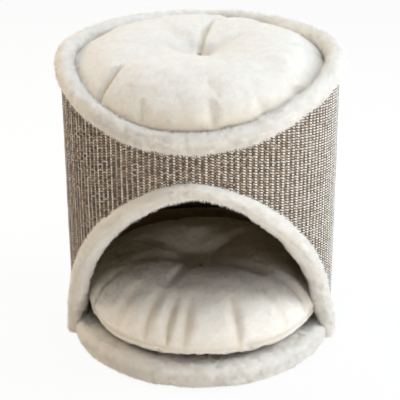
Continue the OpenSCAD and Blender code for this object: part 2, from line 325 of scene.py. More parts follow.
def new_piece(
        mesh: bpy.types.Mesh, material: bpy.types.Material, body: Body,
        stands_for: Sequence[str] = ()) -> bpy.types.Object:
    """Puts a mesh into the scene as a piece of the object.

    Args:
        mesh: The mesh, whose name the piece takes.
        material: Its finish.
        body: The CAD body that it rides on.
        stands_for: CAD nodes that it replaces.

    Returns:
        The piece.
    """
    piece = bpy.data.objects.new(mesh.name, mesh)
    bpy.context.scene.collection.objects.link(piece)
    mesh.materials.append(material)
    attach(piece, body.value)
    if stands_for:
        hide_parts(*stands_for)
    LOG.info("%s: %d faces, rides on %s", piece.name, len(mesh.polygons), body.value)
    return piece


def skin_piece(
        name: str, skin: Skin, material: bpy.types.Material, body: Body,
        stands_for: Sequence[str] = ()) -> bpy.types.Object:
    """Makes a piece of a skin, with its creases kept for the finish's painted crease shade.

    Args:
        name: The piece's name.
        skin: The surface.
        material: Its finish.
        body: The CAD body that it rides on.
        stands_for: CAD nodes that it replaces.

    Returns:
        The piece.
    """
    mesh = new_mesh(name, skin.verts, skin.faces)
    add_values(mesh, "crease", skin.crease)
    return new_piece(mesh, material, body, stands_for)


# Shader nodes


class NodeTree:
    """A short way to place and join shader nodes in one tree."""

    def __init__(self, tree: bpy.types.NodeTree) -> None:
        """Starts on a tree, which is emptied."""
        self.tree = tree
        tree.nodes.clear()

    def node(self, kind: str, inputs: Optional[dict] = None, **settings: object) -> bpy.types.Node:
        """Adds a node.

        Args:
            kind: Blender's node type without its ShaderNode prefix.
            inputs: Values or sockets by input name or number.
            settings: Properties of the node.

        Returns:
            The node.
        """
        made = self.tree.nodes.new("ShaderNode" + kind)
        for name, value in settings.items():
            setattr(made, name, value)
        for name, value in (inputs or {}).items():
            self.feed(made.inputs[name], value)
        return made

    def feed(self, socket: bpy.types.NodeSocket, value: object) -> None:
        """Links a socket into an input, or sets the input to a value.

        Args:
            socket: The input.
            value: The socket or the value.
        """
        if isinstance(value, bpy.types.NodeSocket):
            self.tree.links.new(value, socket)
        else:
            socket.default_value = value

    def math(self, operation: str, a: object, b: object = 0.0, c: object = 0.0) -> bpy.types.NodeSocket:
        """One arithmetic step on numbers or sockets, as a socket."""
        return self.node("Math", {0: a, 1: b, 2: c}, operation=operation).outputs[0]

    def rise(self, value: object, low: float, high: float) -> bpy.types.NodeSocket:
        """Maps a value smoothly to 0 at low and 1 at high.

        Args:
            value: Number or socket to map.
            low: Value that gives 0.
            high: Value that gives 1.

        Returns:
            Socket of the mapped value.
        """
        made = self.node(
            "MapRange", {"Value": value, "From Min": low, "From Max": high}, interpolation_type="SMOOTHSTEP")
        return made.outputs["Result"]

    def mix(self, share: object, a: object, b: object, blend: str = "MIX") -> bpy.types.NodeSocket:
        """Mixes two colours.

        Args:
            share: How much of the second colour there is.
            a: First colour or its socket.
            b: Second colour or its socket.
            blend: How the second colour is laid on the first.

        Returns:
            Socket of the mixed colour.
        """
        made = self.node("Mix", data_type="RGBA", blend_type=blend)
        for number, value in ((0, share), (6, a), (7, b)):
            self.feed(made.inputs[number], value)
        return made.outputs[2]

    def noise(self, place: object, scale: float, detail: float = 2.0) -> bpy.types.NodeSocket:
        """Noise at a place, about 0.5 in the middle."""
        made = self.node("TexNoise", {"Vector": place, "Scale": scale, "Detail": detail})
        return made.outputs["Fac"]

    def attribute(self, name: str) -> bpy.types.NodeSocket:
        """A named number kept on the mesh."""
        return self.node("Attribute", attribute_name=name).outputs["Fac"]

    def object_place(self) -> bpy.types.NodeSocket:
        """The piece's own coordinates, in metres."""
        return self.node("TexCoord").outputs["Object"]


def new_group(name: str, inputs: dict[str, str], outputs: dict[str, str]) -> tuple[NodeTree, dict, dict]:
    """Starts a shader node group.

    Args:
        name: The group's name.
        inputs: Socket types by name.
        outputs: Socket types by name.

    Returns:
        The group's tree, its input sockets by name, and the sockets that its outputs read, by name.
    """
    tree = bpy.data.node_groups.new(name, "ShaderNodeTree")
    for sockets, way in ((inputs, "INPUT"), (outputs, "OUTPUT")):
        for label, kind in sockets.items():
            tree.interface.new_socket(label, in_out=way, socket_type="NodeSocket" + kind)
    made = NodeTree(tree)
    start, end = tree.nodes.new("NodeGroupInput"), tree.nodes.new("NodeGroupOutput")
    return made, {n: start.outputs[n] for n in inputs}, {n: end.inputs[n] for n in outputs}


def pile_group() -> bpy.types.NodeTree:
    """The pile's tone and height: locks of fibre in three sizes of noise, with the tone darkened by painted
    crease shade.

    Returns:
        The group.
    """
    made, given, wanted = new_group(
        "plush_pile", {"Place": "Vector", "CreaseShade": "Float"}, {"Tone": "Float", "Height": "Float"})
    locks = made.noise(given["Place"], 70.0)
    tufts = made.noise(given["Place"], 240.0)
    fibres = made.noise(given["Place"], 1100.0)
    tone = made.math("ADD", made.math("MULTIPLY", locks, 0.45), made.math("MULTIPLY", tufts, 0.35))
    tone = made.math("ADD", tone, made.math("MULTIPLY", fibres, 0.2))
    # Painted crease shade darkens the tone.
    tone = made.math("SUBTRACT", made.rise(tone, 0.3, 0.7), made.math("MULTIPLY", given["CreaseShade"], 0.6))
    height = made.math("ADD", made.math("MULTIPLY", tufts, 0.6), made.math("MULTIPLY", fibres, 0.4))
    made.feed(wanted["Tone"], made.math("MAXIMUM", tone, 0.0))
    made.feed(wanted["Height"], height)
    return made.tree


def fleck_group() -> bpy.types.NodeTree:
    """Flecks of pressed fibre, for boards, felt and foam: long and short noise laid over each other.

    Returns:
        The group.
    """
    made, given, wanted = new_group(
        "fibre_fleck", {"Place": "Vector", "Scale": "Float"}, {"Fleck": "Float", "Height": "Float"})
    long_fleck = made.node("TexNoise", {"Vector": given["Place"], "Scale": given["Scale"], "Detail": 4.0})
    short = made.node("TexNoise", {
        "Vector": given["Place"], "Scale": made.math("MULTIPLY", given["Scale"], 5.0), "Detail": 3.0})
    both = made.math("ADD", made.math("MULTIPLY", long_fleck.outputs["Fac"], 0.55),
                     made.math("MULTIPLY", short.outputs["Fac"], 0.45))
    made.feed(wanted["Fleck"], made.rise(both, 0.32, 0.68))
    made.feed(wanted["Height"], both)
    return made.tree


PILE = pile_group()
FLECK = fleck_group()
Colour = tuple[float, float, float]


def rgba(colour: Colour) -> tuple[float, float, float, float]:
    """A colour with full alpha."""
    return (*colour, 1.0)


class Finish:
    """What every finish shares: a material with one Principled shader."""

    def start(self, name: str, **values: object) -> tuple[bpy.types.Material, NodeTree, bpy.types.Node]:
        """Begins a material.

        Args:
            name: The material's name.
            values: Constant inputs of the shader, with _ for a space.

        Returns:
            The material, its tree and its Principled shader.
        """
        material = bpy.data.materials.new(name)
        material.use_nodes = True
        tree = NodeTree(material.node_tree)
        shader = tree.node("BsdfPrincipled")
        for key, value in values.items():
            shader.inputs[key.replace("_", " ")].default_value = value
        out = tree.node("OutputMaterial")
        tree.feed(out.inputs["Surface"], shader.outputs[0])
        return material, tree, shader

    def bump(
            self, tree: NodeTree, shader: bpy.types.Node, height: object, strength: float,
            depth: float) -> None:
        """Lets a height tilt the shader's normals.

        Args:
            tree: The material's tree.
            shader: Its Principled shader.
            height: Socket of the height.
            strength: How much of it shows.
            depth: Depth of the height's whole range.
        """
        made = tree.node("Bump", {"Height": height, "Strength": strength, "Distance": depth})
        tree.feed(shader.inputs["Normal"], made.outputs["Normal"])


@dataclass(frozen=True)
class PlushFinish(Finish):
    """Short pile plush: the cloth under the fibres.

    Attributes:
        name: The material's name.
        light: Colour on the crowns of the locks.
        dark: Colour between the locks.
        crease_shade: Painted crease shade colour, the tan that shade takes in folds, seams and shaded gaps on
            this plush.
    """

    name: str
    light: Colour
    dark: Colour
    crease_shade: Colour

    def cloth(self) -> bpy.types.Material:
        """Makes the finish of the cloth itself.

        Returns:
            The material.
        """
        material, tree, shader = self.start(
            self.name, Roughness=0.95, Specular_IOR_Level=0.15, Sheen_Weight=0.25, Sheen_Roughness=0.6)
        crease = tree.attribute("crease")
        pile = tree.node("Group", node_tree=PILE)
        tree.feed(pile.inputs["Place"], tree.object_place())
        tree.feed(pile.inputs["CreaseShade"], crease)
        base = tree.mix(pile.outputs["Tone"], rgba(self.dark), rgba(self.light))
        # Painted crease shade: the crease attribute lays the tan shade colour over folds, seams, the tuft and
        # shaded gaps.
        tree.feed(shader.inputs["Base Color"], tree.mix(crease, base, rgba(self.crease_shade)))
        self.bump(tree, shader, pile.outputs["Height"], 0.25, 0.002)
        return material

    def fibres(self) -> bpy.types.Material:
        """Makes the finish of the pile's fibres, paler to their tips.

        Returns:
            The material.
        """
        material, tree, shader = self.start(
            self.name + "_fibres", Roughness=0.85, Specular_IOR_Level=0.2, Sheen_Weight=0.2,
            Sheen_Roughness=0.5)
        tone, way, crease = (tree.attribute(n) for n in ("tone", "way", "crease"))
        pale = tree.math("MULTIPLY_ADD", way, 0.25, tree.math("MULTIPLY_ADD", tone, 0.65, 0.1))
        base = tree.mix(pale, rgba(self.dark), rgba(self.light))
        # Painted crease shade on the fibres, carried from their roots.
        crease_shade = tree.math("MULTIPLY", crease, 0.75)
        tree.feed(shader.inputs["Base Color"], tree.mix(crease_shade, base, rgba(self.crease_shade)))
        return material


@dataclass(frozen=True)
class SisalFinish(Finish):
    """Ribbed sisal weave, on a map of ribs across and beads up.

    Attributes:
        ribs: Count of ribs round the tube.
        beads: Count of beads up the map's height.
        pale: Colour of the raised rib's beads.
        straw: Colour of the threads beside it.
        brown: Colour of the low threads between ribs, darkened with painted shade of the recess.
        deep: Painted shadow colour of the gaps.
        rib_middle: Place of the raised rib, as a share of the pitch.
        rib_half: Half width of the raised rib, as a share of the pitch.
    """

    ribs: int
    beads: float
    pale: Colour = (0.90, 0.85, 0.785)
    straw: Colour = (0.33, 0.22, 0.125)
    brown: Colour = (0.085, 0.052, 0.034)
    deep: Colour = (0.025, 0.016, 0.011)
    rib_middle: float = 0.42
    rib_half: float = 0.19

    def material(self) -> bpy.types.Material:
        """Makes the finish of the weave.

        Each pitch has a raised rib with a lower thread on both sides. All of them are rows of beads, shifted
        by half a bead on the right and by 0.37 of a bead from pitch to pitch. A bead's tone is part chance
        and part fibre, and the gaps between beads and between threads are dark.

        Returns:
            The material.
        """
        material, tree, shader = self.start("ribbed_sisal", Roughness=0.6, Specular_IOR_Level=0.6)
        spot = tree.node("SeparateXYZ", {0: tree.node("UVMap", uv_map=BAKE_MAP).outputs[0]})
        u = tree.math("MULTIPLY", spot.outputs["X"], float(self.ribs))
        v = tree.math("MULTIPLY", spot.outputs["Y"], self.beads)
        place = tree.node("CombineXYZ", {"X": u, "Y": v}).outputs[0]
        drawn_out = tree.node("VectorMath", {0: place, 1: (9.0, 2.5, 1.0)}, operation="MULTIPLY").outputs[0]
        fibre = tree.node("TexNoise", {"Vector": drawn_out, "Scale": 1.0}).outputs["Fac"]
        wander = tree.math("MULTIPLY_ADD", tree.noise(place, 0.12, 3.0), 0.12, -0.06)
        across = tree.math("ADD", tree.math("ADD", u, 0.5), wander)
        pitch, share = tree.math("FLOOR", across), tree.math("FRACT", across)
        from_rib = tree.math("ABSOLUTE", tree.math("SUBTRACT", share, self.rib_middle))
        raised = tree.math("LESS_THAN", from_rib, self.rib_half)
        right = tree.math("GREATER_THAN", share, self.rib_middle + self.rib_half)
        left = tree.math("LESS_THAN", share, self.rib_middle - self.rib_half)
        climb = tree.math("MULTIPLY_ADD", right, 0.5, tree.math("MULTIPLY_ADD", share, 0.3, v))
        climb = tree.math("MULTIPLY_ADD", pitch, 0.37, climb)
        row = tree.math("FLOOR", climb)
        bead = tree.math("COSINE", tree.math("MULTIPLY", tree.math("ADD", climb, 0.5), 2.0 * math.pi))
        band = tree.math("MULTIPLY_ADD", pitch, 3.0, tree.math("MULTIPLY_ADD", right, 2.0, left))
        cell = tree.node("CombineXYZ", {"X": band, "Y": row})
        chance = tree.node("TexWhiteNoise", {"Vector": cell.outputs[0]}, noise_dimensions="2D")
        tuft = tree.math("MULTIPLY_ADD", fibre, 0.4, tree.math("MULTIPLY", chance.outputs["Value"], 0.9))
        far_side = tree.math("GREATER_THAN", share, 0.45)
        crest = tree.math("MULTIPLY_ADD", far_side, -0.3, tree.math("ADD", tuft, 0.2))
        high = tree.mix(tree.rise(crest, 0.05, 0.75), rgba(self.straw), rgba(self.pale))
        turn_about = tree.math("FRACT", tree.math("MULTIPLY", row, 0.5))
        low = tree.math("MULTIPLY_ADD", tuft, 0.75, tree.math("MULTIPLY", turn_about, 0.4))
        low = tree.math("MULTIPLY_ADD", left, 0.25, low)
        # The low threads' brown carries painted shade of the recess.
        dark = tree.mix(tree.rise(low, 0.3, 0.75), rgba(self.brown), rgba(self.straw))
        dark = tree.mix(tree.math("MULTIPLY", tree.rise(low, 0.75, 1.2), 0.6), dark, rgba(self.pale))
        woven = tree.mix(raised, dark, high)
        between = tree.math("ABSOLUTE", tree.math("SUBTRACT", from_rib, self.rib_half))
        # Painted shadow in the gaps between beads and between threads.
        bead_gap = tree.math("MULTIPLY", tree.rise(bead, 0.35, -0.7), 0.9)
        thread_gap = tree.math("MULTIPLY", tree.rise(between, 0.05, 0.0), 0.4)
        gap_shadow = tree.math("MAXIMUM", bead_gap, thread_gap)
        tree.feed(shader.inputs["Base Color"], tree.mix(gap_shadow, woven, rgba(self.deep)))
        height = tree.math("MULTIPLY_ADD", raised, 0.35, tree.math("MULTIPLY", bead, 0.3))
        self.bump(tree, shader, tree.math("MULTIPLY_ADD", fibre, 0.25, height), 0.6, 0.0012)
        tree.feed(shader.inputs["Roughness"], tree.math("MULTIPLY_ADD", fibre, 0.3, 0.4))
        return material


@dataclass(frozen=True)
class FleckFinish(Finish):
    """Pressed or foamed stuff with flecks: boards, felt, foam and wadding.

    Attributes:
        name: The material's name.
        light: Colour of the flecks.
        dark: Colour between them.
        scale: Flecks in a metre.
        stretch: How the flecks are drawn out along X, Y and Z.
        relief: Depth of the bumps.
        winding: Height of one turn of wound paper, 0 for none.
    """

    name: str
    light: Colour
    dark: Colour
    scale: float
    stretch: tuple[float, float, float] = (1.0, 1.0, 1.0)
    relief: float = 0.0006
    winding: float = 0.0

    def material(self) -> bpy.types.Material:
        """Makes the finish with its flecks, and with the joints of its winding where it has one.

        Returns:
            The material.
        """
        material, tree, shader = self.start(self.name, Roughness=0.9, Specular_IOR_Level=0.2)
        place = tree.object_place()
        fleck = tree.node("Group", {"Scale": self.scale}, node_tree=FLECK)
        tree.feed(fleck.inputs["Place"], tree.node(
            "VectorMath", {0: place, 1: self.stretch}, operation="MULTIPLY").outputs[0])
        colour = tree.mix(fleck.outputs["Fleck"], rgba(self.dark), rgba(self.light))
        if self.winding:
            axis = tree.node("SeparateXYZ", {0: place})
            angle = tree.math("ARCTAN2", axis.outputs["X"], axis.outputs["Y"])
            climb = tree.math("MULTIPLY_ADD", angle, 1.0 / (2.0 * math.pi),
                              tree.math("DIVIDE", axis.outputs["Z"], self.winding))
            joint = tree.rise(tree.math("PINGPONG", climb, 0.5), 0.012, 0.0)
            colour = tree.mix(tree.math("MULTIPLY", joint, 0.7), colour, rgba(self.dark), "MULTIPLY")
        tree.feed(shader.inputs["Base Color"], colour)
        self.bump(tree, shader, fleck.outputs["Height"], 0.6, self.relief)
        return material


@dataclass(frozen=True)
class ScrewFinish(Finish):
    """Zinc plated steel with a fine haze.

    Attributes:
        bright: Colour where it is clean.
        dull: Colour where it is hazed.
    """

    bright: Colour = (0.62, 0.62, 0.64)
    dull: Colour = (0.36, 0.36, 0.38)

    def material(self) -> bpy.types.Material:
        """Makes the finish of the screws.

        Returns:
            The material.
        """
        material, tree, shader = self.start("zinc_plated_steel", Metallic=1.0)
        haze = tree.noise(tree.object_place(), 900.0, 4.0)
        tree.feed(shader.inputs["Base Color"], tree.mix(haze, rgba(self.dull), rgba(self.bright)))
        tree.feed(shader.inputs["Roughness"], tree.math("MULTIPLY_ADD", haze, 0.35, 0.2))
        return material


@dataclass(frozen=True)
class CordFinish(Finish):
    """Sewing cord with a little fuzz.

    Attributes:
        light: Colour of its fuzz.
        dark: Colour between the fuzz.
    """

    light: Colour = (0.72, 0.66, 0.57)
    dark: Colour = (0.33, 0.27, 0.2)

    def material(self) -> bpy.types.Material:
        """Makes the finish of the tufting cord.

        Returns:
            The material.
        """
        material, tree, shader = self.start("twisted_cord", Roughness=0.8, Specular_IOR_Level=0.25)
        fuzz = tree.noise(tree.object_place(), 2200.0, 3.0)
        tree.feed(shader.inputs["Base Color"], tree.mix(fuzz, rgba(self.dark), rgba(self.light)))
        self.bump(tree, shader, fuzz, 0.5, 0.0004)
        return material


# The third colour of each plush finish is its painted crease shade.
CREAM = PlushFinish("cream_plush", (0.93, 0.90, 0.85), (0.84, 0.785, 0.70), (0.78, 0.66, 0.50))
# The den lining's plush is set darker than the cream to give the deep shade in the den: painted shade.
SHADED_TAUPE = PlushFinish("taupe_plush", (0.56, 0.475, 0.37), (0.44, 0.37, 0.28), (0.26, 0.20, 0.14))
CAD_FINISHES: dict[str, FleckFinish] = {
    "base_board": FleckFinish("base_fibreboard", (0.52, 0.38, 0.23), (0.33, 0.22, 0.12), 130.0),
    "shelf_board": FleckFinish("shelf_fibreboard", (0.50, 0.36, 0.22), (0.31, 0.21, 0.115), 140.0),
    "tube_shell": FleckFinish(
        "wound_greyboard", (0.135, 0.12, 0.075), (0.08, 0.07, 0.042), 90.0, (1.0, 1.0, 4.0), 0.0004, 0.11),
    "floor_pads": FleckFinish("pressed_felt", (0.12, 0.11, 0.10), (0.05, 0.045, 0.04), 420.0),
    "base_pad": FleckFinish("base_foam", (0.84, 0.74, 0.46), (0.62, 0.51, 0.27), 500.0, relief=0.0012),
    "rim_core": FleckFinish("rim_foam", (0.82, 0.73, 0.47), (0.60, 0.50, 0.28), 520.0, relief=0.0012),
    "arch_core": FleckFinish("arch_foam", (0.83, 0.73, 0.45), (0.61, 0.50, 0.26), 510.0, relief=0.0012),
}


# The pile


@dataclass(frozen=True)
class PileCoat:
    """A coat of short fibres: flat closed blades that narrow to a point, rooted at random over a skin.

    Attributes:
        name: The piece's name.
        count: Count of blades.
        length: Usual length of a blade.
        seed: Picks the places and tones.
        root: Half width of a blade's root.
        lean: How far blades lean along the nap, against standing up.
        stray: How far blades lean at random.
        lock: Size of the locks that lean together.
        lowest: Height that no tip goes below.
        nap: Way in which all the plush is brushed.
        tousled: How far the light falls unevenly on the locks.
    """

    name: str
    count: int
    length: float
    seed: int
    root: float = 0.0005
    lean: float = 1.9
    stray: float = 0.36
    lock: float = 0.006
    lowest: float = 0.0008
    tousled: float = 0.5
    nap: tuple[float, float, float] = (0.15, 0.8, -0.35)

    def roots(self, skin: Skin, rng: np.random.Generator) -> tuple[Array, Array, Array]:
        """Spreads roots evenly over the furred part of a skin.

        Args:
            skin: The surface.
            rng: Source of the random places.

        Returns:
            Places, unit normals and creases of the roots.
        """
        triangles = np.concatenate([skin.faces[:, [0, 1, 2]], skin.faces[:, [0, 2, 3]]])
        size = np.linalg.norm(face_vectors(skin.verts, triangles)[1], axis=1)
        share = np.cumsum(size * skin.furred[triangles].mean(axis=1))
        picked = triangles[np.searchsorted(share, rng.random(self.count) * share[-1])]
        a, b = rng.random((2, self.count))
        fold = a + b > 1.0
        a, b = np.where(fold, 1.0 - a, a), np.where(fold, 1.0 - b, b)
        weights = np.stack([1.0 - a - b, a, b], axis=1)
        normals = vertex_normals(skin.verts, skin.faces)
        place = (skin.verts[picked] * weights[..., None]).sum(axis=1)
        normal = unit((normals[picked] * weights[..., None]).sum(axis=1))
        return place, normal, (skin.crease[picked] * weights).sum(axis=1)

    def grow(self, skin: Skin, material: bpy.types.Material, body: Body) -> bpy.types.Object:
        """Grows the coat.

        Each blade runs from its root along normal + lean * nap + stray, where stray is part random and part
        shared by the blades of a lock. Its root is a flat triangle across that way, with its broad side out,
        and its shading follows the skin, so that the pile takes the light as one surface.

        Args:
            skin: The surface.
            material: Finish of the fibres.
            body: The CAD body that it rides on.

        Returns:
            The piece.
        """
        rng = np.random.default_rng(self.seed)
        place, normal, crease = self.roots(skin, rng)
        brushed = unit(np.array(self.nap) - normal * (normal @ np.array(self.nap))[:, None])
        lock = np.stack([lattice_noise(place, self.lock, self.seed + k) for k in range(3)], axis=1)
        way = unit(normal + self.lean * brushed
                   + self.stray * (rng.standard_normal((self.count, 3)) * 0.8 + lock * 1.4))
        tall = self.length * (0.65 + 0.6 * rng.random(self.count))
        tall = tall * (1.0 + 0.2 * lock[:, 0]) * (1.0 - 0.5 * crease)
        side = unit(np.cross(way, normal + 0.25 * rng.standard_normal((self.count, 3))))
        ring = np.stack([side, 0.5 * np.cross(way, side), -side], axis=1)
        base = (place - normal * self.root * 0.5)[:, None] + self.root * ring
        tip = (place + way * tall[:, None])[:, None]
        tip[..., 2] = np.maximum(tip[..., 2], self.lowest)
        verts = np.concatenate([base, tip], axis=1).reshape(-1, 3)
        corners = ring.shape[1] + 1
        pattern = np.array([[0, 1, 3], [1, 2, 3], [2, 0, 3], [0, 2, 1]])
        faces = (np.arange(self.count)[:, None, None] * corners + pattern).reshape(-1, 3)
        mesh = new_mesh(self.name, verts, faces)
        shading = unit(normal + 0.2 * way + self.tousled * lock)
        mesh.normals_split_custom_set_from_vertices(np.repeat(shading, corners, axis=0).tolist())
        tone = np.clip(0.5 + 0.45 * lock[:, 1] + 0.15 * rng.standard_normal(self.count), 0.0, 1.0)
        add_values(mesh, "tone", np.repeat(tone, corners))
        # Each fibre carries its root's painted crease shade.
        add_values(mesh, "crease", np.repeat(crease, corners))
        add_values(mesh, "way", np.tile([0.0, 0.0, 0.0, 1.0], self.count))
        add_map(mesh, self.bake_cells(len(pattern)))
        return new_piece(mesh, material, body)

    def bake_cells(self, sides: int) -> Array:
        """A map on which each blade has a cell of its own, with all its sides laid over each other.

        Args:
            sides: Count of a blade's faces.

        Returns:
            Places of the face corners on the map.
        """
        across = math.ceil(math.sqrt(self.count))
        number = np.arange(self.count)
        cell = np.stack([number % across, number // across], axis=1)
        shape = np.array([[0.15, 0.15], [0.85, 0.15], [0.5, 0.85]])
        spots = (cell[:, None, None] + np.broadcast_to(shape, (sides, 3, 2))) / across
        return spots.reshape(-1, 2)


# The tube's wall and what follows it


@dataclass(frozen=True)
class TubeWall:
    """The tube's wall unrolled: arc along its middle, and height. The doorway and the rim are lines on it.

    Attributes:
        mid_r: Radius of the wall's middle, its sisal included.
        half_t: Half the wall's thickness.
        foot_z: Height of its foot.
        door_h: Height of the doorway's top.
        door_half_angle: Half the doorway's angle at its foot.
        across_power: Power of the doorway's superellipse along the arc.
        up_power: Power of the doorway's superellipse upwards.
        rim_z: Height of the rim's edge at the back.
        scoop_depth: Depth of the rim's scoop.
        scoop_half_angle: Half the scoop's angle.
        scoop_turn: Angle of the scoop's lowest place from the front.
        top_lift: How far the rounded top of the doorway is above its height.
        top_reach: Share of the half line over which the doorway's top is rounded.
        top_blur: Count of points in the running mean that rounds it, an odd number.
        even_points: Count of points on the doorway while it is rounded, an odd number.
        fine_points: Count of points on a line before it is evened.
    """

    mid_r: float = 0.194
    half_t: float = 0.006
    foot_z: float = 0.004
    door_h: float = 0.311
    door_half_angle: float = math.radians(80.5)
    across_power: float = 1.68
    up_power: float = 1.2
    rim_z: float = 0.4355
    scoop_depth: float = 0.060
    scoop_half_angle: float = math.radians(97.0)
    scoop_turn: float = math.radians(-4.5)
    top_lift: float = 0.001
    top_reach: float = 0.22
    top_blur: int = 101
    even_points: int = 2001
    fine_points: int = 6001

    def point(self, arc: Array, z: Array, out: Array) -> Array:
        """Places on or off the wall, at an angle of arc / radius from the front."""
        a, r = arc / self.mid_r, self.mid_r + out
        return np.stack(np.broadcast_arrays(r * np.sin(a), -r * np.cos(a), z), axis=-1)

    def door_half_arc(self, z: Array) -> Array:
        """Half the doorway's arc: the superellipse |s/W|^p + |z/H|^q = 1 solved for s.

        Args:
            z: Heights.

        Returns:
            Arcs from the doorway's middle to its edge.
        """
        rise = np.clip((z - self.foot_z) / (self.door_h - self.foot_z), 0.0, 1.0)
        wide = self.mid_r * self.door_half_angle
        return wide * (1.0 - rise ** self.up_power) ** (1.0 / self.across_power)

    def rim_height(self, angle: Array) -> Array:
        """Height of the rim's edge: level, less a raised cosine for the scoop.

        Args:
            angle: Angles from the front.

        Returns:
            Heights.
        """
        off = np.abs((angle - self.scoop_turn + math.pi) % (2.0 * math.pi) - math.pi)
        t = np.minimum(off / self.scoop_half_angle, 1.0)
        return self.rim_z - self.scoop_depth * (1.0 + np.cos(math.pi * t)) / 2.0

    def evenly(self, line: Array, count: int, closed: bool) -> tuple[Array, Array, Array]:
        """Spaces points evenly along a line on the unrolled wall.

        Args:
            line: Points (arc, z), close together.
            count: Count of points wanted.
            closed: Whether the line's end is its start.

        Returns:
            The points, their unit normals into the opening, and their lengths along the line.
        """
        along = np.concatenate([[0.0], np.cumsum(np.linalg.norm(np.diff(line, axis=0), axis=1))])
        at = np.linspace(0.0, along[-1], count, endpoint=not closed)
        step = along[-1] / (8.0 * count)
        spots, ahead, behind = (
            np.stack([np.interp(at + off, along, line[:, k]) for k in range(2)], axis=1)
            for off in (0.0, step, -step))
        way = unit(ahead - behind)
        return spots, np.stack([way[:, 1], -way[:, 0]], axis=1), at

    def door_line(self, count: int) -> tuple[Array, Array, Array]:
        """The doorway's edge from its left foot over its top to its right foot.

        The line is the superellipse by its angle. Near the top it is drawn to its own running mean, which
        rounds it, and it is lifted back to the doorway's height.

        Args:
            count: Count of points wanted.

        Returns:
            What evenly returns.
        """
        a = np.linspace(0.0, math.pi, self.fine_points)
        wide = self.mid_r * self.door_half_angle
        arc = -np.sign(np.cos(a)) * wide * np.abs(np.cos(a)) ** (2.0 / self.across_power)
        z = self.foot_z + (self.door_h - self.foot_z) * np.sin(a).clip(0.0) ** (2.0 / self.up_power)
        spots = self.evenly(np.stack([arc, z], axis=1), self.even_points, False)[0]
        window = np.full(self.top_blur, 1.0 / self.top_blur)
        mean = np.stack([np.convolve(spots[:, k], window, "same") for k in range(2)], axis=1)
        share = bell(np.linspace(-1.0, 1.0, self.even_points), self.top_reach)[:, None]
        rounded = spots + (mean - spots) * share
        top_z = rounded[self.even_points // 2, 1]
        rounded[:, 1] += (self.door_h + self.top_lift - top_z) * share[:, 0]
        return self.evenly(rounded, count, False)

    def rim_line(self, count: int) -> tuple[Array, Array, Array]:
        """The rim's edge from the back round by the right, the front and the left.

        Args:
            count: Count of points wanted.

        Returns:
            What evenly returns.
        """
        angle = np.linspace(math.pi, -math.pi, self.fine_points)
        return self.evenly(np.stack([angle * self.mid_r, self.rim_height(angle)], axis=1), count, True)


WALL = TubeWall()


@dataclass(frozen=True)
class SisalMat:
    """The woven mat round the tube: raised ribs of beads with lower threads between them.

    Attributes:
        radius: Radius of the ribs' crowns.
        back_r: Radius of the mat's glued side.
        ribs: Count of ribs round the tube.
        rib_columns: Columns of vertices on a rib.
        bead: Height of one bead.
        top_z: Height of the mat's map.
        rib_relief: Height of the ribs over the threads.
        bead_relief: Half height of the beads.
        split: Angle from the front at which the front mesh meets the back one.
        swing: Share of a pitch by which a rib swings from row to row.
        rib_power: Roundness of the ribs, less is broader.
        wobble: Height of the mat's slow unevenness.
        roughness: Height of the unevenness from bead to bead.
        seam_depth: Depth of the butt seam at the back.
    """

    radius: float = 0.2002
    back_r: float = 0.1943
    ribs: int = 146
    rib_columns: int = 6
    bead: float = 0.0040
    top_z: float = 0.44
    rib_relief: float = 0.0028
    bead_relief: float = 0.00045
    split: float = math.radians(109.7)
    swing: float = 0.04
    rib_power: float = 0.8
    wobble: float = 0.0003
    roughness: float = 0.00015
    seam_depth: float = 0.0012

    def build(self, material: bpy.types.Material) -> list[bpy.types.Object]:
        """Makes the mat in two meshes, front and back.

        The radius is crown - relief * (1 - rib) +- bead, where rib is a raised cosine of the arc and the
        beads alternate from row to row, the other way round in the gaps. The lowest row turns in to the tube.

        Args:
            material: Its finish.

        Returns:
            The pieces.
        """
        columns = self.ribs * self.rib_columns
        rows = 2 * round((self.top_z - WALL.foot_z) / self.bead)
        angle = np.linspace(-math.pi, math.pi, columns + 1)
        height = np.concatenate([[WALL.foot_z] * 2, WALL.foot_z + np.arange(1, rows) * self.bead / 2.0])
        z, a = np.meshgrid(height, angle, indexing="ij")
        row = np.arange(len(height))[:, None] * np.ones_like(a)
        unrolled = np.stack([a * self.radius, z, z * 0.0], axis=-1)
        swing = self.swing * np.cos(math.pi * row)
        rib = 0.5 + 0.5 * np.cos(2.0 * math.pi * (a / (2.0 * math.pi) * self.ribs + swing))
        rib = rib ** self.rib_power
        radius = (self.radius - self.rib_relief * (1.0 - rib)
                  + self.wobble * lattice_noise(unrolled, 0.02, 11)
                  + self.roughness * lattice_noise(unrolled, self.bead, 12)
                  + self.bead_relief * np.cos(math.pi * row) * (1.6 * rib - 0.6))
        radius[0] = self.back_r
        radius[:, [0, -1]] -= self.seam_depth
        verts = np.stack([radius * np.sin(a), -radius * np.cos(a), z], axis=-1).reshape(-1, 3)
        spots = np.stack([(a + math.pi) / (2.0 * math.pi), z / self.top_z], axis=-1).reshape(-1, 2)
        faces = grid_quads(len(height), columns + 1)[:, ::-1]
        middle_a, middle_z = a.ravel()[faces].mean(axis=1), z.ravel()[faces].mean(axis=1)
        in_door = (np.abs(middle_a) * WALL.mid_r < WALL.door_half_arc(middle_z)) & (middle_z < WALL.door_h)
        on_wall = ~in_door & (middle_z < WALL.rim_height(middle_a))
        pieces = []
        for name, chosen in (("sisal_mat_front", np.abs(middle_a) <= self.split),
                             ("sisal_mat_back", np.abs(middle_a) > self.split)):
            part, numbers, places = used_only(verts, faces[on_wall & chosen], spots)
            mesh = new_mesh(name, part, numbers)
            add_map(mesh, places[numbers].reshape(-1, 2))
            pieces.append(new_piece(mesh, material, Body.CONDO, ["sisal_wrap"]))
        return pieces


class Line(Enum):
    """The two wall edges that carry a rolled trim."""

    RIM = "rim"
    ARCH = "arch"


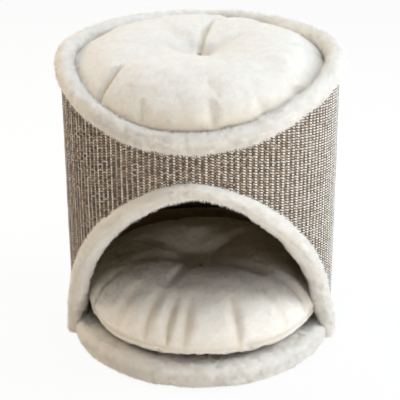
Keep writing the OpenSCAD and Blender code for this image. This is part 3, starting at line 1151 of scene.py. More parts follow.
@dataclass(frozen=True)
class RolledTrim:
    """A plush sleeve over slit foam, rolled over an edge of the wall.

    Attributes:
        line: The edge that it follows.
        steps: Count of sections along it.
        radius: Radius of the sleeve's cloth, under its pile.
        cloth_t: Thickness of the cloth.
        seam_turn: Place of the lengthwise seam on the section, in radians from the crest outwards.
        joints: Places of the cross seams, as shares of the edge's length.
        seed: Picks the lumps.
        blades: Count of fibres.
        fibre: Length of the fibres.
        outer_points: Count of points round the section.
        base_z: Height that the doorway's sleeve keeps above inside the tube, where the base is.
        squeeze_z: Height below which it is lifted to keep that.
        slit_clear: Gap between the sleeve's slit and the wall.
        groove_depth: Depth of the seams.
        uneven: The sleeve's lumps.
    """

    line: Line
    steps: int
    seam_turn: float
    joints: tuple[float, ...]
    seed: int
    blades: int
    fibre: float = 0.0060
    radius: float = 0.0130
    cloth_t: float = 0.0022
    outer_points: int = 40
    base_z: float = 0.0342
    squeeze_z: float = 0.05
    slit_clear: float = 0.0006
    groove_depth: float = 0.0013
    uneven: Lumps = Lumps(0.0012, 0.045, 0.0009, 0.016)

    def section(self) -> Array:
        """Angles of the sleeve's section, from the wall's inner side over the crest to its outer side."""
        reach = math.pi - math.asin((WALL.half_t + self.slit_clear) / self.radius)
        return np.linspace(-reach, reach, self.outer_points)

    def build(self, cloth: bpy.types.Material, fibres: bpy.types.Material) -> bpy.types.Object:
        """Makes the sleeve and its pile.

        The section is a circle of the sleeve's radius, slit for the wall, with lumps and with a groove along
        each seam. The same line a cloth's thickness further in closes the shell.

        Args:
            cloth: Finish of the cloth.
            fibres: Finish of the pile.

        Returns:
            The sleeve.
        """
        closed = self.line is Line.RIM
        spots, into, along = WALL.rim_line(self.steps) if closed else WALL.door_line(self.steps)
        turn = self.section()
        lumps = self.lumps(spots, turn)
        groove = self.grooves(along / along[-1], turn)
        outer = self.radius + lumps - self.groove_depth * groove
        outer_line = self.placed(spots, into, outer, turn)
        inner_line = self.placed(spots, into, outer - self.cloth_t, turn)[:, ::-1]
        verts = np.concatenate([outer_line, inner_line], axis=1)
        sides = verts.shape[1]
        faces = grid_quads(self.steps, sides, closed, True)
        if not closed:
            faces = np.concatenate([faces, self.end_caps(sides)])
        # The seams' grooves also get painted crease shade.
        crease = np.concatenate([groove, np.zeros_like(groove)], axis=1)
        furred = np.concatenate([np.ones_like(groove), np.zeros_like(groove)], axis=1)
        skin = Skin(verts.reshape(-1, 3), faces, crease.ravel(), furred.ravel()).outwards()
        skin.swollen(0.0004 * lattice_noise(skin.verts, 0.006, self.seed + 5) * skin.furred)
        name = self.line.value
        piece = skin_piece(name + "_roll", skin, cloth, Body.CONDO, [name + "_cover"])
        coat = PileCoat(name + "_roll_pile", self.blades, self.fibre, self.seed + 20)
        coat.grow(skin, fibres, Body.CONDO)
        return piece

    def lumps(self, spots: Array, turn: Array) -> Array:
        """Unevenness of the sleeve: noise on the unrolled sleeve, closed to a ring for the rim.

        Args:
            spots: Points of the edge on the unrolled wall.
            turn: Angles of the section.

        Returns:
            Heights at each step and each angle.
        """
        s = np.concatenate([[0.0], np.cumsum(np.linalg.norm(np.diff(spots, axis=0), axis=1))])
        grid = np.stack(np.broadcast_arrays(s[:, None], turn[None, :] * self.radius * 1.5, 0.0), axis=-1)
        if self.line is Line.RIM:
            around, ring_r = s / s[-1] * 2.0 * math.pi, 0.19
            grid = np.stack(np.broadcast_arrays(
                ring_r * np.sin(around)[:, None], ring_r * np.cos(around)[:, None], grid[..., 1]), axis=-1)
        return self.uneven.at(grid, self.seed)

    def grooves(self, share: Array, turn: Array) -> Array:
        """Depth of the seams: a bell across one seam along the sleeve, and one across each joint.

        Args:
            share: Shares of the edge's length.
            turn: Angles of the section.

        Returns:
            Depths from 0 to 1 at each step and each angle.
        """
        along = np.stack([share * 40.0, share * 0.0, share * 0.0], axis=1)
        wander = 0.06 * lattice_noise(along, 1.0, self.seed + 2)
        lengthwise = 0.45 * bell(turn[None, :] - self.seam_turn - wander[:, None], 0.1)
        crosswise = np.zeros(len(share))
        for joint in self.joints:
            off = np.abs(share - joint)
            off = np.minimum(off, 1.0 - off) if self.line is Line.RIM else off
            crosswise = np.maximum(crosswise, 0.25 * bell(off, 0.0025))
        return np.maximum(lengthwise, crosswise[:, None])

    def placed(self, spots: Array, into: Array, radius: Array, turn: Array) -> Array:
        """Carries a section along the edge, and lifts the part inside the tube clear of the base.

        Args:
            spots: Points of the edge on the unrolled wall.
            into: Unit normals there, into the opening.
            radius: Radius at each step and each angle.
            turn: Angles of the section.

        Returns:
            Places, shape (steps, angles, 3).
        """
        out, deep = radius * np.sin(turn), radius * np.cos(turn)
        arc = spots[:, :1] + into[:, :1] * deep
        z = spots[:, 1:] + into[:, 1:] * deep
        if self.line is Line.ARCH:
            high = self.squeeze_z
            inside = smooth_step(-out, WALL.half_t - 0.002, WALL.half_t + 0.001)
            squeezed = self.base_z + (z - WALL.foot_z) * (high - self.base_z) / (high - WALL.foot_z)
            z = np.where(z < high, z + (squeezed - z) * inside, z)
            z = np.maximum(z, WALL.foot_z - 0.001)
        return WALL.point(arc, z, out)

    def end_caps(self, sides: int) -> Array:
        """Quads that close both ends of an open sleeve, between its outer and its inner line.

        Args:
            sides: Count of vertices round the closed section.

        Returns:
            Vertex numbers, shape (quads, 4).
        """
        j = np.arange(sides // 2 - 1)
        cap = np.stack([j, j + 1, sides - 2 - j, sides - 1 - j], axis=1)
        return np.concatenate([cap, cap[:, ::-1] + (self.steps - 1) * sides])


@dataclass(frozen=True)
class WallLining:
    """A plush lining glued inside the tube, open at its glued side.

    Attributes:
        name: The piece's name.
        node: The CAD node that it replaces.
        face_r: Radius of its plush face.
        glued_r: Radius of its glued side.
        seed: Picks the lumps.
        gap_shade: How much painted shade it takes all over, the tan of the shaded gap between the cushion and
            the wall.
        edge_width: Width over which its edges are rounded.
        uneven: Its lumps.
    """

    name: str
    node: str
    face_r: float
    glued_r: float
    seed: int
    gap_shade: float = 0.0
    edge_width: float = 0.004
    uneven: Lumps = Lumps(0.0006, 0.02, 0.0004, 0.006)

    def build(
            self, arc: Array, low: Array, high: Array, closed: bool, material: bpy.types.Material,
            slot: Slot) -> bpy.types.Object:
        """Makes the lining between two heights at each arc.

        It is a strip of the wall's cylinder, whose radius goes 0.4 of the way to the glued side along its
        upper and lower edge, and all the way in its last rows.

        Args:
            arc: Arcs of its columns.
            low: Height of its lower edge at each arc.
            high: Height of its upper edge at each arc.
            closed: Whether it goes all the way round.
            material: Its finish.
            slot: The record's material slot; not used.

        Returns:
            The lining.
        """
        share = np.concatenate([[0.0], np.linspace(0.0, 1.0, 30), [1.0]])
        edge = np.minimum(share, 1.0 - share) * (high - low).max()
        turned = 1.0 - smooth_step(edge, 0.0, self.edge_width)
        radius = self.face_r + (self.glued_r - self.face_r) * turned * 0.4
        radius[[0, -1]] = self.glued_r
        z = low + (high - low) * share[:, None]
        a = arc / WALL.mid_r
        verts = np.stack(np.broadcast_arrays(
            radius[:, None] * np.sin(a), -radius[:, None] * np.cos(a), z), axis=-1).reshape(-1, 3)
        faces = grid_quads(len(share), len(arc), False, closed)
        inner = np.repeat(edge > 0.0005, len(arc)).astype(float)
        # The whole lining gets the same painted shade through its crease value.
        skin = Skin(verts, faces, np.full(len(verts), self.gap_shade), inner)
        skin.facing(lambda p: -p * np.array([1.0, 1.0, 0.0]))
        skin.swollen(inner * self.uneven.at(verts, self.seed))
        piece = skin_piece(self.name, skin, material, Body.CONDO, [self.node])
        return piece


@dataclass(frozen=True)
class Linings:
    """The plush on the inner wall of the den and of the bed.

    Attributes:
        face_r: Radius of the plush faces.
        glued_r: Radius of the glued sides.
        den_low: Height of the den lining's lower edge.
        den_high: Height of its upper edge.
        bed_low: Height of the bed lining's lower edge.
        roll_clear: Distance that both keep from the middle of a rolled trim.
    """

    face_r: float = 0.1838
    glued_r: float = 0.1877
    den_low: float = 0.0327
    den_high: float = 0.112
    bed_low: float = 0.3412
    roll_clear: float = 0.0155

    def build(self, den_plush: bpy.types.Material, bed_plush: bpy.types.Material) -> None:
        """Makes both linings.

        The den's upper edge waves a little, as a strip cut by hand does. The bed's goes along under the rim.

        Args:
            den_plush: Finish in the den, darkened with painted shade.
            bed_plush: Finish in the bed.
        """
        around = 2.0 * math.pi * WALL.mid_r
        start = float(WALL.door_half_arc(np.array(self.den_high)) + self.roll_clear)
        arc = np.linspace(start, around - start, 260)
        foot = self.door_side_z(np.minimum(arc, around - arc))
        angle = arc / WALL.mid_r
        high = self.den_high + 0.0022 * np.sin(angle * 2.0 + 0.6) + 0.001 * np.sin(angle * 7.0)
        WallLining("den_lining_plush", "den_lining", self.face_r, self.glued_r, 31).build(
            arc, np.maximum(foot, self.den_low), high, False, den_plush, Slot.TAUPE_PLUSH)
        arc = np.linspace(-math.pi, math.pi, 300, endpoint=False) * WALL.mid_r
        high = WALL.rim_height(arc / WALL.mid_r) - self.roll_clear
        # The bed lining gets painted shade, as it lies in the shaded gap behind the cushion.
        WallLining("bed_lining_plush", "bed_lining", self.face_r, self.glued_r, 33, 0.5).build(
            arc, np.full(len(arc), self.bed_low), high, True, bed_plush, Slot.CREAM_PLUSH)

    def door_side_z(self, arc: Array) -> Array:
        """Height at which the doorway's trim ends beside the lining, looked up on the doorway's line.

        Args:
            arc: Arcs from the doorway's middle.

        Returns:
            Heights, 0 past the doorway's foot.
        """
        z = np.linspace(self.den_high, WALL.foot_z, 200)
        return np.interp(arc, WALL.door_half_arc(z) + self.roll_clear, z, right=0.0)


@dataclass(frozen=True)
class PlushBase:
    """The base's plush: over the foam, down its front between the doorway's feet, and a little way under.

    Attributes:
        top_z: Height of the cloth on top, under its pile.
        front_r: Radius of the cloth down the front.
        back_r: Radius of its edge inside the tube.
        lip_r: Radius of the front's rounded upper edge.
        low_lip_r: Radius of its rounded lower edge.
        under_z: Height of the turn-under.
        under_r: Radius at which the turn-under ends.
        under_t: Thickness of the cloth where it ends.
        cloth_t: Thickness of the cloth.
        side_clear: Distance that the front keeps from the doorway's edge.
        blades: Count of fibres.
        fibre: Length of the fibres.
        seed: Picks the lumps.
        uneven: Its lumps.
        tuck_points: Count of points on the turn-under.
    """

    top_z: float = 0.0318
    front_r: float = 0.1958
    back_r: float = 0.1872
    lip_r: float = 0.0115
    low_lip_r: float = 0.006
    under_z: float = 0.0016
    under_r: float = 0.168
    under_t: float = 0.0021
    cloth_t: float = 0.0026
    side_clear: float = 0.0135
    blades: int = 42000
    fibre: float = 0.0050
    seed: int = 51
    uneven: Lumps = Lumps(0.0012, 0.03, 0.0006, 0.009)
    tuck_points: int = 7

    def front_profile(self) -> Array:
        """The cloth's outer line: out from the top's middle, round the lip, down, and under.

        Returns:
            Points (radius, height).
        """
        flat_r = np.linspace(0.0, self.front_r - self.lip_r, 46)
        top = np.stack([flat_r, np.full_like(flat_r, self.top_z)], axis=1)
        a = np.linspace(0.0, math.pi / 2.0, 12)[1:]
        lip = np.stack([self.front_r - self.lip_r + self.lip_r * np.sin(a),
                        self.top_z - self.lip_r + self.lip_r * np.cos(a)], axis=1)
        low = np.stack([self.front_r - self.low_lip_r + self.low_lip_r * np.cos(a),
                        self.under_z + self.low_lip_r - self.low_lip_r * np.sin(a)], axis=1)
        drop = np.linspace(lip[-1], low[0], 8)[1:-1]
        tuck = np.linspace(low[-1], (self.under_r, self.under_z), self.tuck_points + 1)[1:]
        return np.concatenate([top, lip, drop, low, tuck])

    def build(self, cloth: bpy.types.Material, fibres: bpy.types.Material) -> bpy.types.Object:
        """Makes the plush and its pile.

        The outer line, and the same line a cloth's thickness further in, are turned round the axis. Behind
        the doorway's feet, what lies outside the tube's inner wall is drawn back to that wall. The pile grows
        where the doorway shows it.

        Args:
            cloth: Finish of the cloth.
            fibres: Finish of the pile.

        Returns:
            The plush.
        """
        outline = self.front_profile()
        way = np.gradient(outline, axis=0)
        inner = outline - unit(np.stack([-way[:, 1], way[:, 0]], axis=1)) * self.cloth_t
        inner[-1] = outline[-1] + np.array([0.0, self.under_t])
        ring = np.concatenate([outline, inner[::-1]])
        angle = np.linspace(-math.pi, math.pi, 420, endpoint=False)
        radius = np.broadcast_to(ring[None, :, 0], (len(angle), len(ring))).copy()
        z = np.broadcast_to(ring[None, :, 1], radius.shape).copy()
        half = (WALL.door_half_arc(np.clip(z, WALL.foot_z, None)) - self.side_clear) / WALL.mid_r
        behind = np.abs(angle)[:, None] > half
        limit = np.where(z > self.top_z - self.cloth_t / 2.0, self.back_r, self.back_r - 0.0012)
        radius = np.where(behind, np.minimum(radius, limit), radius)
        z = np.where(behind, np.maximum(z, self.top_z - self.cloth_t), z)
        a = angle[:, None]
        verts = np.stack([radius * np.sin(a), -radius * np.cos(a), z], axis=-1).reshape(-1, 3)
        faces = grid_quads(len(angle), len(ring), True)
        outside = np.arange(len(ring)) < len(outline) - self.tuck_points - 2
        from_axis = np.hypot(verts[:, 0], verts[:, 1])
        furred = np.broadcast_to(outside, radius.shape).ravel() * smooth_step(from_axis, 0.09, 0.15)
        furred = furred * smooth_step(-verts[:, 1], 0.0, 0.07)
        skin = Skin(verts, faces, np.zeros(len(verts)), furred).outwards()
        skin.swollen(furred * self.uneven.at(verts, self.seed))
        piece = skin_piece("base_plush", skin, cloth, Body.CONDO, ["base_cover"])
        coat = PileCoat("base_plush_pile", self.blades, self.fibre, self.seed + 6)
        coat.grow(skin, fibres, Body.CONDO)
        return piece


@dataclass(frozen=True)
class BedFloor:
    """The plush on the shelf under the top cushion.

    Attributes:
        top_z: Height of its face.
        low_z: Height of its glued side.
        radius: Its radius.
        edge_drop: How far its face comes down at its edge.
        edge_rings: Count of rings at that edge that have no lumps.
        rings: Count of rings on its face.
        spokes: Count of vertices round it.
    """

    top_z: float = 0.3443
    low_z: float = 0.3393
    radius: float = 0.1829
    edge_drop: float = 0.0035
    edge_rings: int = 4
    rings: int = 70
    spokes: int = 260

    def build(self, cloth: bpy.types.Material) -> bpy.types.Object:
        """Makes a disc with a rounded edge, its pile in lumps and a shallow dent where the cushion rests.

        Args:
            cloth: Its finish.

        Returns:
            The disc.
        """
        share = np.linspace(0.0, 1.0, self.rings)
        top = np.stack([share * self.radius, np.full(self.rings, self.top_z)], axis=1)
        top[:, 1] -= self.edge_drop * smooth_step(share, 0.97, 1.0)
        low = np.array([[self.radius, self.low_z], [0.0, self.low_z]])
        ring = np.concatenate([top, low])
        a = np.linspace(0.0, 2.0 * math.pi, self.spokes, endpoint=False)[:, None]
        verts = np.stack(np.broadcast_arrays(
            ring[:, 0] * np.sin(a), ring[:, 0] * np.cos(a), ring[:, 1]), axis=-1).reshape(-1, 3)
        faces = grid_quads(len(a), len(ring), True)
        face = np.arange(len(ring)) < self.rings - self.edge_rings
        upper = np.broadcast_to(face, (len(a), len(ring))).ravel().astype(float)
        skin = Skin(verts, faces, np.zeros(len(verts)), upper).outwards()
        dent = -0.0012 * bell(np.hypot(verts[:, 0], verts[:, 1]), 0.12)
        skin.verts[:, 2] += upper * (dent + 0.0005 * lattice_noise(verts, 0.012, 61) - 0.0004)
        piece = skin_piece("bed_floor_plush", skin, cloth, Body.CONDO, ["shelf_cover"])
        return piece


# Cushions


@dataclass(frozen=True)
class Fold:
    """A valley in a cushion's upper panel that runs out from its tuft.

    Attributes:
        turn: Its way in degrees, from the front to the right.
        start: Distance from the tuft at which it starts.
        end: Distance at which it ends.
        depth: Its depth.
        width: Its half width.
        bend: Degrees by which its way turns from start to end.
    """

    turn: float
    start: float
    end: float
    depth: float
    width: float
    bend: float = 0.0

    def valley(self, x: Array, y: Array) -> Array:
        """Depth of the fold: a bell across its line, with soft ends.

        Args:
            x: Places across, in metres from the tuft.
            y: Places along.

        Returns:
            Depths in metres.
        """
        r, a = np.hypot(x, y), np.arctan2(x, -y)
        share = (r - self.start) / (self.end - self.start)
        line = np.radians(self.turn + self.bend * np.clip(share, 0.0, 1.0))
        off = (a - line + math.pi) % (2.0 * math.pi) - math.pi
        across = np.where(np.abs(off) < math.pi / 2.0, r * np.sin(np.abs(off)), r + 1.0)
        along = smooth_step(share, -0.25, 0.15) * (1.0 - smooth_step(share, 0.6, 1.1))
        return self.depth * along * bell(across, self.width)

    def lips(self, x: Array, y: Array) -> Array:
        """Puffed lips on both sides of the fold: a bell of the distance across it, about 1.9 widths out.

        Args:
            x: Places across, in metres from the tuft.
            y: Places along.

        Returns:
            Heights in metres, up to the fold's depth.
        """
        share = self.valley(x, y) / self.depth
        widths = np.sqrt(np.maximum(-np.log(np.maximum(share, 1e-9)), 0.0))
        return self.depth * bell(widths - 1.9, 0.7) * smooth_step(share, 0.0, 0.02)


@dataclass(frozen=True)
class Cushion:
    """A round loose cushion of two plush panels, sewn at the edge and tufted in the middle.

    Attributes:
        name: The piece's name, and the start of its CAD nodes' names.
        body: The CAD body that it rides on.
        centre: Middle of its underside.
        radius: Radius of its edge seam.
        crown: Height of its upper panel above its underside.
        seam: Height of its edge seam.
        dome_power: Fullness of the upper panel, more is flatter in the middle.
        tuft: Depth of the tuft.
        tuft_reach: Spread of the tuft.
        folds: Valleys of the upper panel.
        gathers: Turns in degrees and depths of the gathers above the seam.
        lobes: Turn, distance, height and spread of puffed lobes.
        seed: Picks the lumps.
        cloth_cap: The furthest that the simulation may move a point.
        seam_rise: How much higher the edge seam is at the back than at the front.
        power_rise: How much fuller the upper panel is at the back than at the front.
        press: How far its upper panel bulges out over the seam, against what surrounds it; where it does,
            painted shade runs along its edge.
        blades: Count of fibres.
        fibre: Length of the fibres.
        lock: Size of the locks that lean together.
        tousled: How far the light falls unevenly on the locks.
        grid: Count of vertices along each side of a panel's grid.
        dome_root: Roundness of the upper panel's shoulder, less is rounder.
        gather_width: Half width of the gathers.
        lip_share: Height of the lips beside a fold, as a share of its depth.
        seam_depth: Depth of the groove that is sewn along the seam.
        seam_width: Half width of that groove.
        uneven: Its lumps.
    """

    name: str
    body: Body
    centre: tuple[float, float, float]
    radius: float
    crown: float
    seam: float
    dome_power: float
    tuft: float
    tuft_reach: float
    folds: tuple[Fold, ...]
    gathers: tuple[tuple[float, float], ...]
    lobes: tuple[tuple[float, float, float, float], ...]
    seed: int
    cloth_cap: float = 0.006
    blades: int = 44000
    fibre: float = 0.0030
    lock: float = 0.006
    tousled: float = 0.32
    grid: int = 91
    dome_root: float = 0.5
    gather_width: float = 0.0085
    seam_rise: float = 0.0
    power_rise: float = 0.0
    press: float = 0.0
    lip_share: float = 0.12
    seam_depth: float = 0.0022
    seam_width: float = 0.004
    uneven: Lumps = Lumps(0.0010, 0.030, 0.0003, 0.009)

    def disc(self) -> tuple[Array, Array]:
        """A square grid bent to a round one: x = u sqrt(1 - v^2 / 2), y = v sqrt(1 - u^2 / 2).

        Returns:
            Places x and y on a disc of radius one.
        """
        side = np.linspace(-1.0, 1.0, self.grid)
        side = np.sin(side * math.pi / 2.0) * 0.35 + side * 0.65
        u, v = np.meshgrid(side, side, indexing="ij")
        return u * np.sqrt(1.0 - v * v / 2.0), v * np.sqrt(1.0 - u * u / 2.0)

    def backness(self, x: Array, y: Array) -> Array:
        """How far to the back a way from the middle points: a raised cosine, 0 in front and 1 behind."""
        return 0.5 + 0.5 * y / np.maximum(np.hypot(x, y), 1e-6)

    def seam_at(self, x: Array, y: Array) -> Array:
        """Height of the edge seam on the way from the middle to a place."""
        return self.seam + self.seam_rise * self.backness(x, y)

    def upper(self, x: Array, y: Array) -> tuple[Array, Array]:
        """Height of the upper panel over the disc, and how much painted crease shade it gets.

        Height is seam + (crown - seam) (1 - share^power)^root, with lobes and the folds' lips added, and with
        the tuft's bell, the folds and the gathers taken off.

        Args:
            x: Places across, in metres from the middle.
            y: Places along.

        Returns:
            Heights above the underside, and creases from 0 to 1.
        """
        share = np.clip(np.hypot(x, y) / self.radius, 0.0, 1.0)
        seam = self.seam_at(x, y)
        power = self.dome_power + self.power_rise * self.backness(x, y)
        height = seam + (self.crown - seam) * (1.0 - share ** power) ** self.dome_root
        inside = 1.0 - smooth_step(share, 0.75, 1.0)
        for turn, distance, lift, spread in self.lobes:
            way = math.radians(turn)
            off = np.hypot(x - distance * math.sin(way), y + distance * math.cos(way))
            height = height + lift * bell(off, spread) * inside
        valley = sum(fold.valley(x, y) for fold in self.folds)
        height = height - valley + self.lip_share * sum(fold.lips(x, y) for fold in self.folds)
        gather = self.gather_depth(share, np.arctan2(x, -y))
        dip = self.tuft * bell(np.hypot(x, y), self.tuft_reach)
        # Painted crease shade in the folds and gathers, and a spot of it at the tuft.
        crease = np.clip(valley / 0.012, 0.0, 1.0) ** 2.0 * 0.9 + np.clip(gather / 0.008, 0.0, 1.0) * 0.45
        crease = np.maximum(crease, 0.6 * bell(np.hypot(x, y), 0.008))
        # Painted shade along the edge of a cushion that presses against the rim.
        if self.press > 0.0:
            crease = np.maximum(crease, 0.38 * smooth_step(share, 0.86, 1.0))
        return height - dip - gather, np.clip(crease, 0.0, 1.0)

    def gather_depth(self, share: Array, angle: Array) -> Array:
        """Depth of the gathers: a bell across each, which starts on the shoulder and fades at the seam.

        Args:
            share: Shares of the way from the middle to the seam.
            angle: Angles from the front to the right.

        Returns:
            Depths in metres.
        """
        width = (self.gather_width * (0.8 + 1.6 * (1.0 - share))).mean()
        total = np.zeros_like(share)
        for turn, depth in self.gathers:
            off = (angle - math.radians(turn) + math.pi) % (2.0 * math.pi) - math.pi
            across = bell(np.abs(off) * share * self.radius, width)
            fade = 1.0 - 0.55 * smooth_step(share, 0.97, 1.0)
            total = total + depth * across * smooth_step(share, 0.62, 0.9) * fade
        return total

    def lower(self, x: Array, y: Array) -> Array:
        """Height of the lower panel: flat where it rests, raised a little at the tuft, and round at the seam.

        Args:
            x: Places across, in metres from the middle.
            y: Places along.

        Returns:
            Heights above the underside.
        """
        share = np.clip(np.hypot(x, y) / self.radius, 0.0, 1.0)
        rise = self.seam_at(x, y) * (1.0 - np.sqrt(1.0 - share ** 8.0))
        return rise + 0.004 * bell(np.hypot(x, y), 0.03)

    def closed_grid(self) -> tuple[Skin, Array]:
        """Both panels on one closed grid that shares its edge.

        Returns:
            The skin, and for each vertex its share of the way from the middle to the seam, negative below.
        """
        unit_x, unit_y = self.disc()
        x, y = unit_x * self.radius, unit_y * self.radius
        top_z, crease = self.upper(x, y)
        edge = np.zeros((self.grid, self.grid), bool)
        edge[[0, -1]] = True
        edge[:, [0, -1]] = True
        top_z = np.where(edge, self.seam_at(x, y), top_z)
        bulge = 1.0 + self.press / self.radius * bell(np.hypot(unit_x, unit_y) - 0.955, 0.05) * (~edge)
        count = self.grid * self.grid
        number = np.arange(count).reshape(self.grid, self.grid)
        below = np.where(edge, number, count + np.cumsum(~edge).reshape(edge.shape) - 1)
        top = np.stack([x * bulge, y * bulge, top_z], axis=-1).reshape(-1, 3)
        low = np.stack([x, y, self.lower(x, y)], axis=-1)[~edge]
        quads = grid_quads(self.grid, self.grid)
        faces = np.concatenate([quads, below.ravel()[quads][:, ::-1]])
        share = np.hypot(unit_x, unit_y)
        shares = np.concatenate([share.ravel(), -share[~edge]])
        creases = np.concatenate([crease.ravel(), np.zeros(len(low))])
        verts = np.concatenate([top, low]) + np.array(self.centre)
        furred = smooth_step(np.where(shares < 0.0, 1.0 + shares, 0.0), 0.3, 0.2)
        return Skin(verts, faces, creases, furred).outwards(), shares

    def build(self, cloth: bpy.types.Material, fibres: bpy.types.Material) -> bpy.types.Object:
        """Shapes the cushion, swells it as cloth, rounds it, sews its seam and grows its pile.

        Args:
            cloth: Finish of the cloth.
            fibres: Finish of the pile.

        Returns:
            The cushion.
        """
        skin, shares = self.closed_grid()
        mesh = new_mesh(self.name, skin.verts, skin.faces)
        for label, values in (("crease", skin.crease), ("furred", skin.furred), ("share", shares)):
            add_values(mesh, label, values)
        piece = new_piece(mesh, cloth, self.body, [
            self.name + end for end in ("_upper", "_lower", "_filling")])
        self.swell(piece, shares)
        skin = self.rounded(piece)
        piece.data.vertices.foreach_set("co", np.ascontiguousarray(skin.verts, np.float32).ravel())
        piece.data.update()
        coat = PileCoat(
            self.name + "_pile", self.blades, self.fibre, self.seed + 20, root=0.0004, lean=2.3,
            lock=self.lock, tousled=self.tousled)
        coat.grow(skin, fibres, self.body)
        return piece

    def swell(self, piece: bpy.types.Object, shares: Array) -> None:
        """Lets Blender's cloth swell the cushion under pressure, with its tuft, rest and seam held.

        Args:
            piece: The cushion, whose mesh is changed.
            shares: Share of the way to the seam of each vertex, negative below.
        """
        rest = mesh_places(piece.data)
        held = (np.abs(shares) < 0.06) | ((shares < 0.0) & (shares > -0.86))
        group = piece.vertex_groups.new(name="held")
        group.add(np.flatnonzero(held).tolist(), 1.0, "REPLACE")
        cloth = piece.modifiers.new("swell", "CLOTH")
        made = cloth.settings
        made.quality, made.mass, made.air_damping = 6, 0.25, 4.0
        made.tension_stiffness, made.compression_stiffness = 18.0, 12.0
        made.shear_stiffness, made.bending_stiffness = 6.0, 0.8
        made.use_pressure, made.uniform_pressure_force = True, 4.0
        made.shrink_min = -0.035
        made.vertex_group_mass = group.name
        made.effector_weights.gravity = 0.0
        last = 20
        cloth.point_cache.frame_start, cloth.point_cache.frame_end = 1, last
        scene = bpy.context.scene
        for number in range(1, last + 1):
            scene.frame_set(number)
        seen = piece.evaluated_get(bpy.context.evaluated_depsgraph_get())
        moved = mesh_places(seen.to_mesh())
        seen.to_mesh_clear()
        piece.modifiers.remove(cloth)
        piece.vertex_groups.remove(group)
        scene.frame_set(1)
        step = moved - rest
        far = np.linalg.norm(step, axis=1, keepdims=True)
        step *= np.minimum(1.0, self.cloth_cap / np.maximum(far, 1e-9))
        piece.data.vertices.foreach_set("co", np.ascontiguousarray(rest + step, np.float32).ravel())
        piece.data.update()
        LOG.info("%s swelled by %.1f mm at most", piece.name, 1000.0 * float(far.max()))

    def rounded(self, piece: bpy.types.Object) -> Skin:
        """Subdivides the cushion once, sews the seam's groove into it with painted shade in the groove, and
        adds the pile's lumps.

        Args:
            piece: The cushion, whose mesh is replaced.

        Returns:
            The finished skin.
        """
        piece.modifiers.new("round", "SUBSURF").levels = 1
        piece.modifiers["round"].render_levels = 1
        seen = piece.evaluated_get(bpy.context.evaluated_depsgraph_get())
        mesh = bpy.data.meshes.new_from_object(seen)
        piece.modifiers.clear()
        old, piece.data = piece.data, mesh
        bpy.data.meshes.remove(old)
        mesh.name = self.name
        numbers = np.empty(len(mesh.loops), np.int32)
        mesh.loops.foreach_get("vertex_index", numbers)
        values = {}
        for label in ("crease", "furred", "share"):
            values[label] = np.empty(len(mesh.vertices), np.float32)
            mesh.attributes[label].data.foreach_get("value", values[label])
        skin = Skin(
            mesh_places(mesh), numbers.reshape(-1, 4), values["crease"].astype(float),
            values["furred"].astype(float))
        flat = skin.verts - np.array(self.centre)
        seam = self.seam_at(flat[:, 0], flat[:, 1])
        off = np.hypot(np.hypot(flat[:, 0], flat[:, 1]) - self.radius, flat[:, 2] - seam)
        groove = bell(off, self.seam_width) * smooth_step(np.abs(values["share"]), 0.8, 0.97)
        # Painted shade in the seam's groove.
        skin.crease = np.maximum(skin.crease, 0.7 * groove)
        lumps = self.uneven.at(skin.verts, self.seed) * skin.furred
        skin.swollen(lumps - self.seam_depth * groove)
        mesh.attributes["crease"].data.foreach_set("value", skin.crease.astype(np.float32))
        for label in ("furred", "share"):
            mesh.attributes.remove(mesh.attributes[label])
        return skin


def mesh_places(mesh: bpy.types.Mesh) -> Array:
    """Reads the places of a mesh's vertices.

    Args:
        mesh: The mesh.

    Returns:
        Places, shape (n, 3).
    """
    places = np.empty(len(mesh.vertices) * 3, np.float32)
    mesh.vertices.foreach_get("co", places)
    return places.reshape(-1, 3).astype(float)


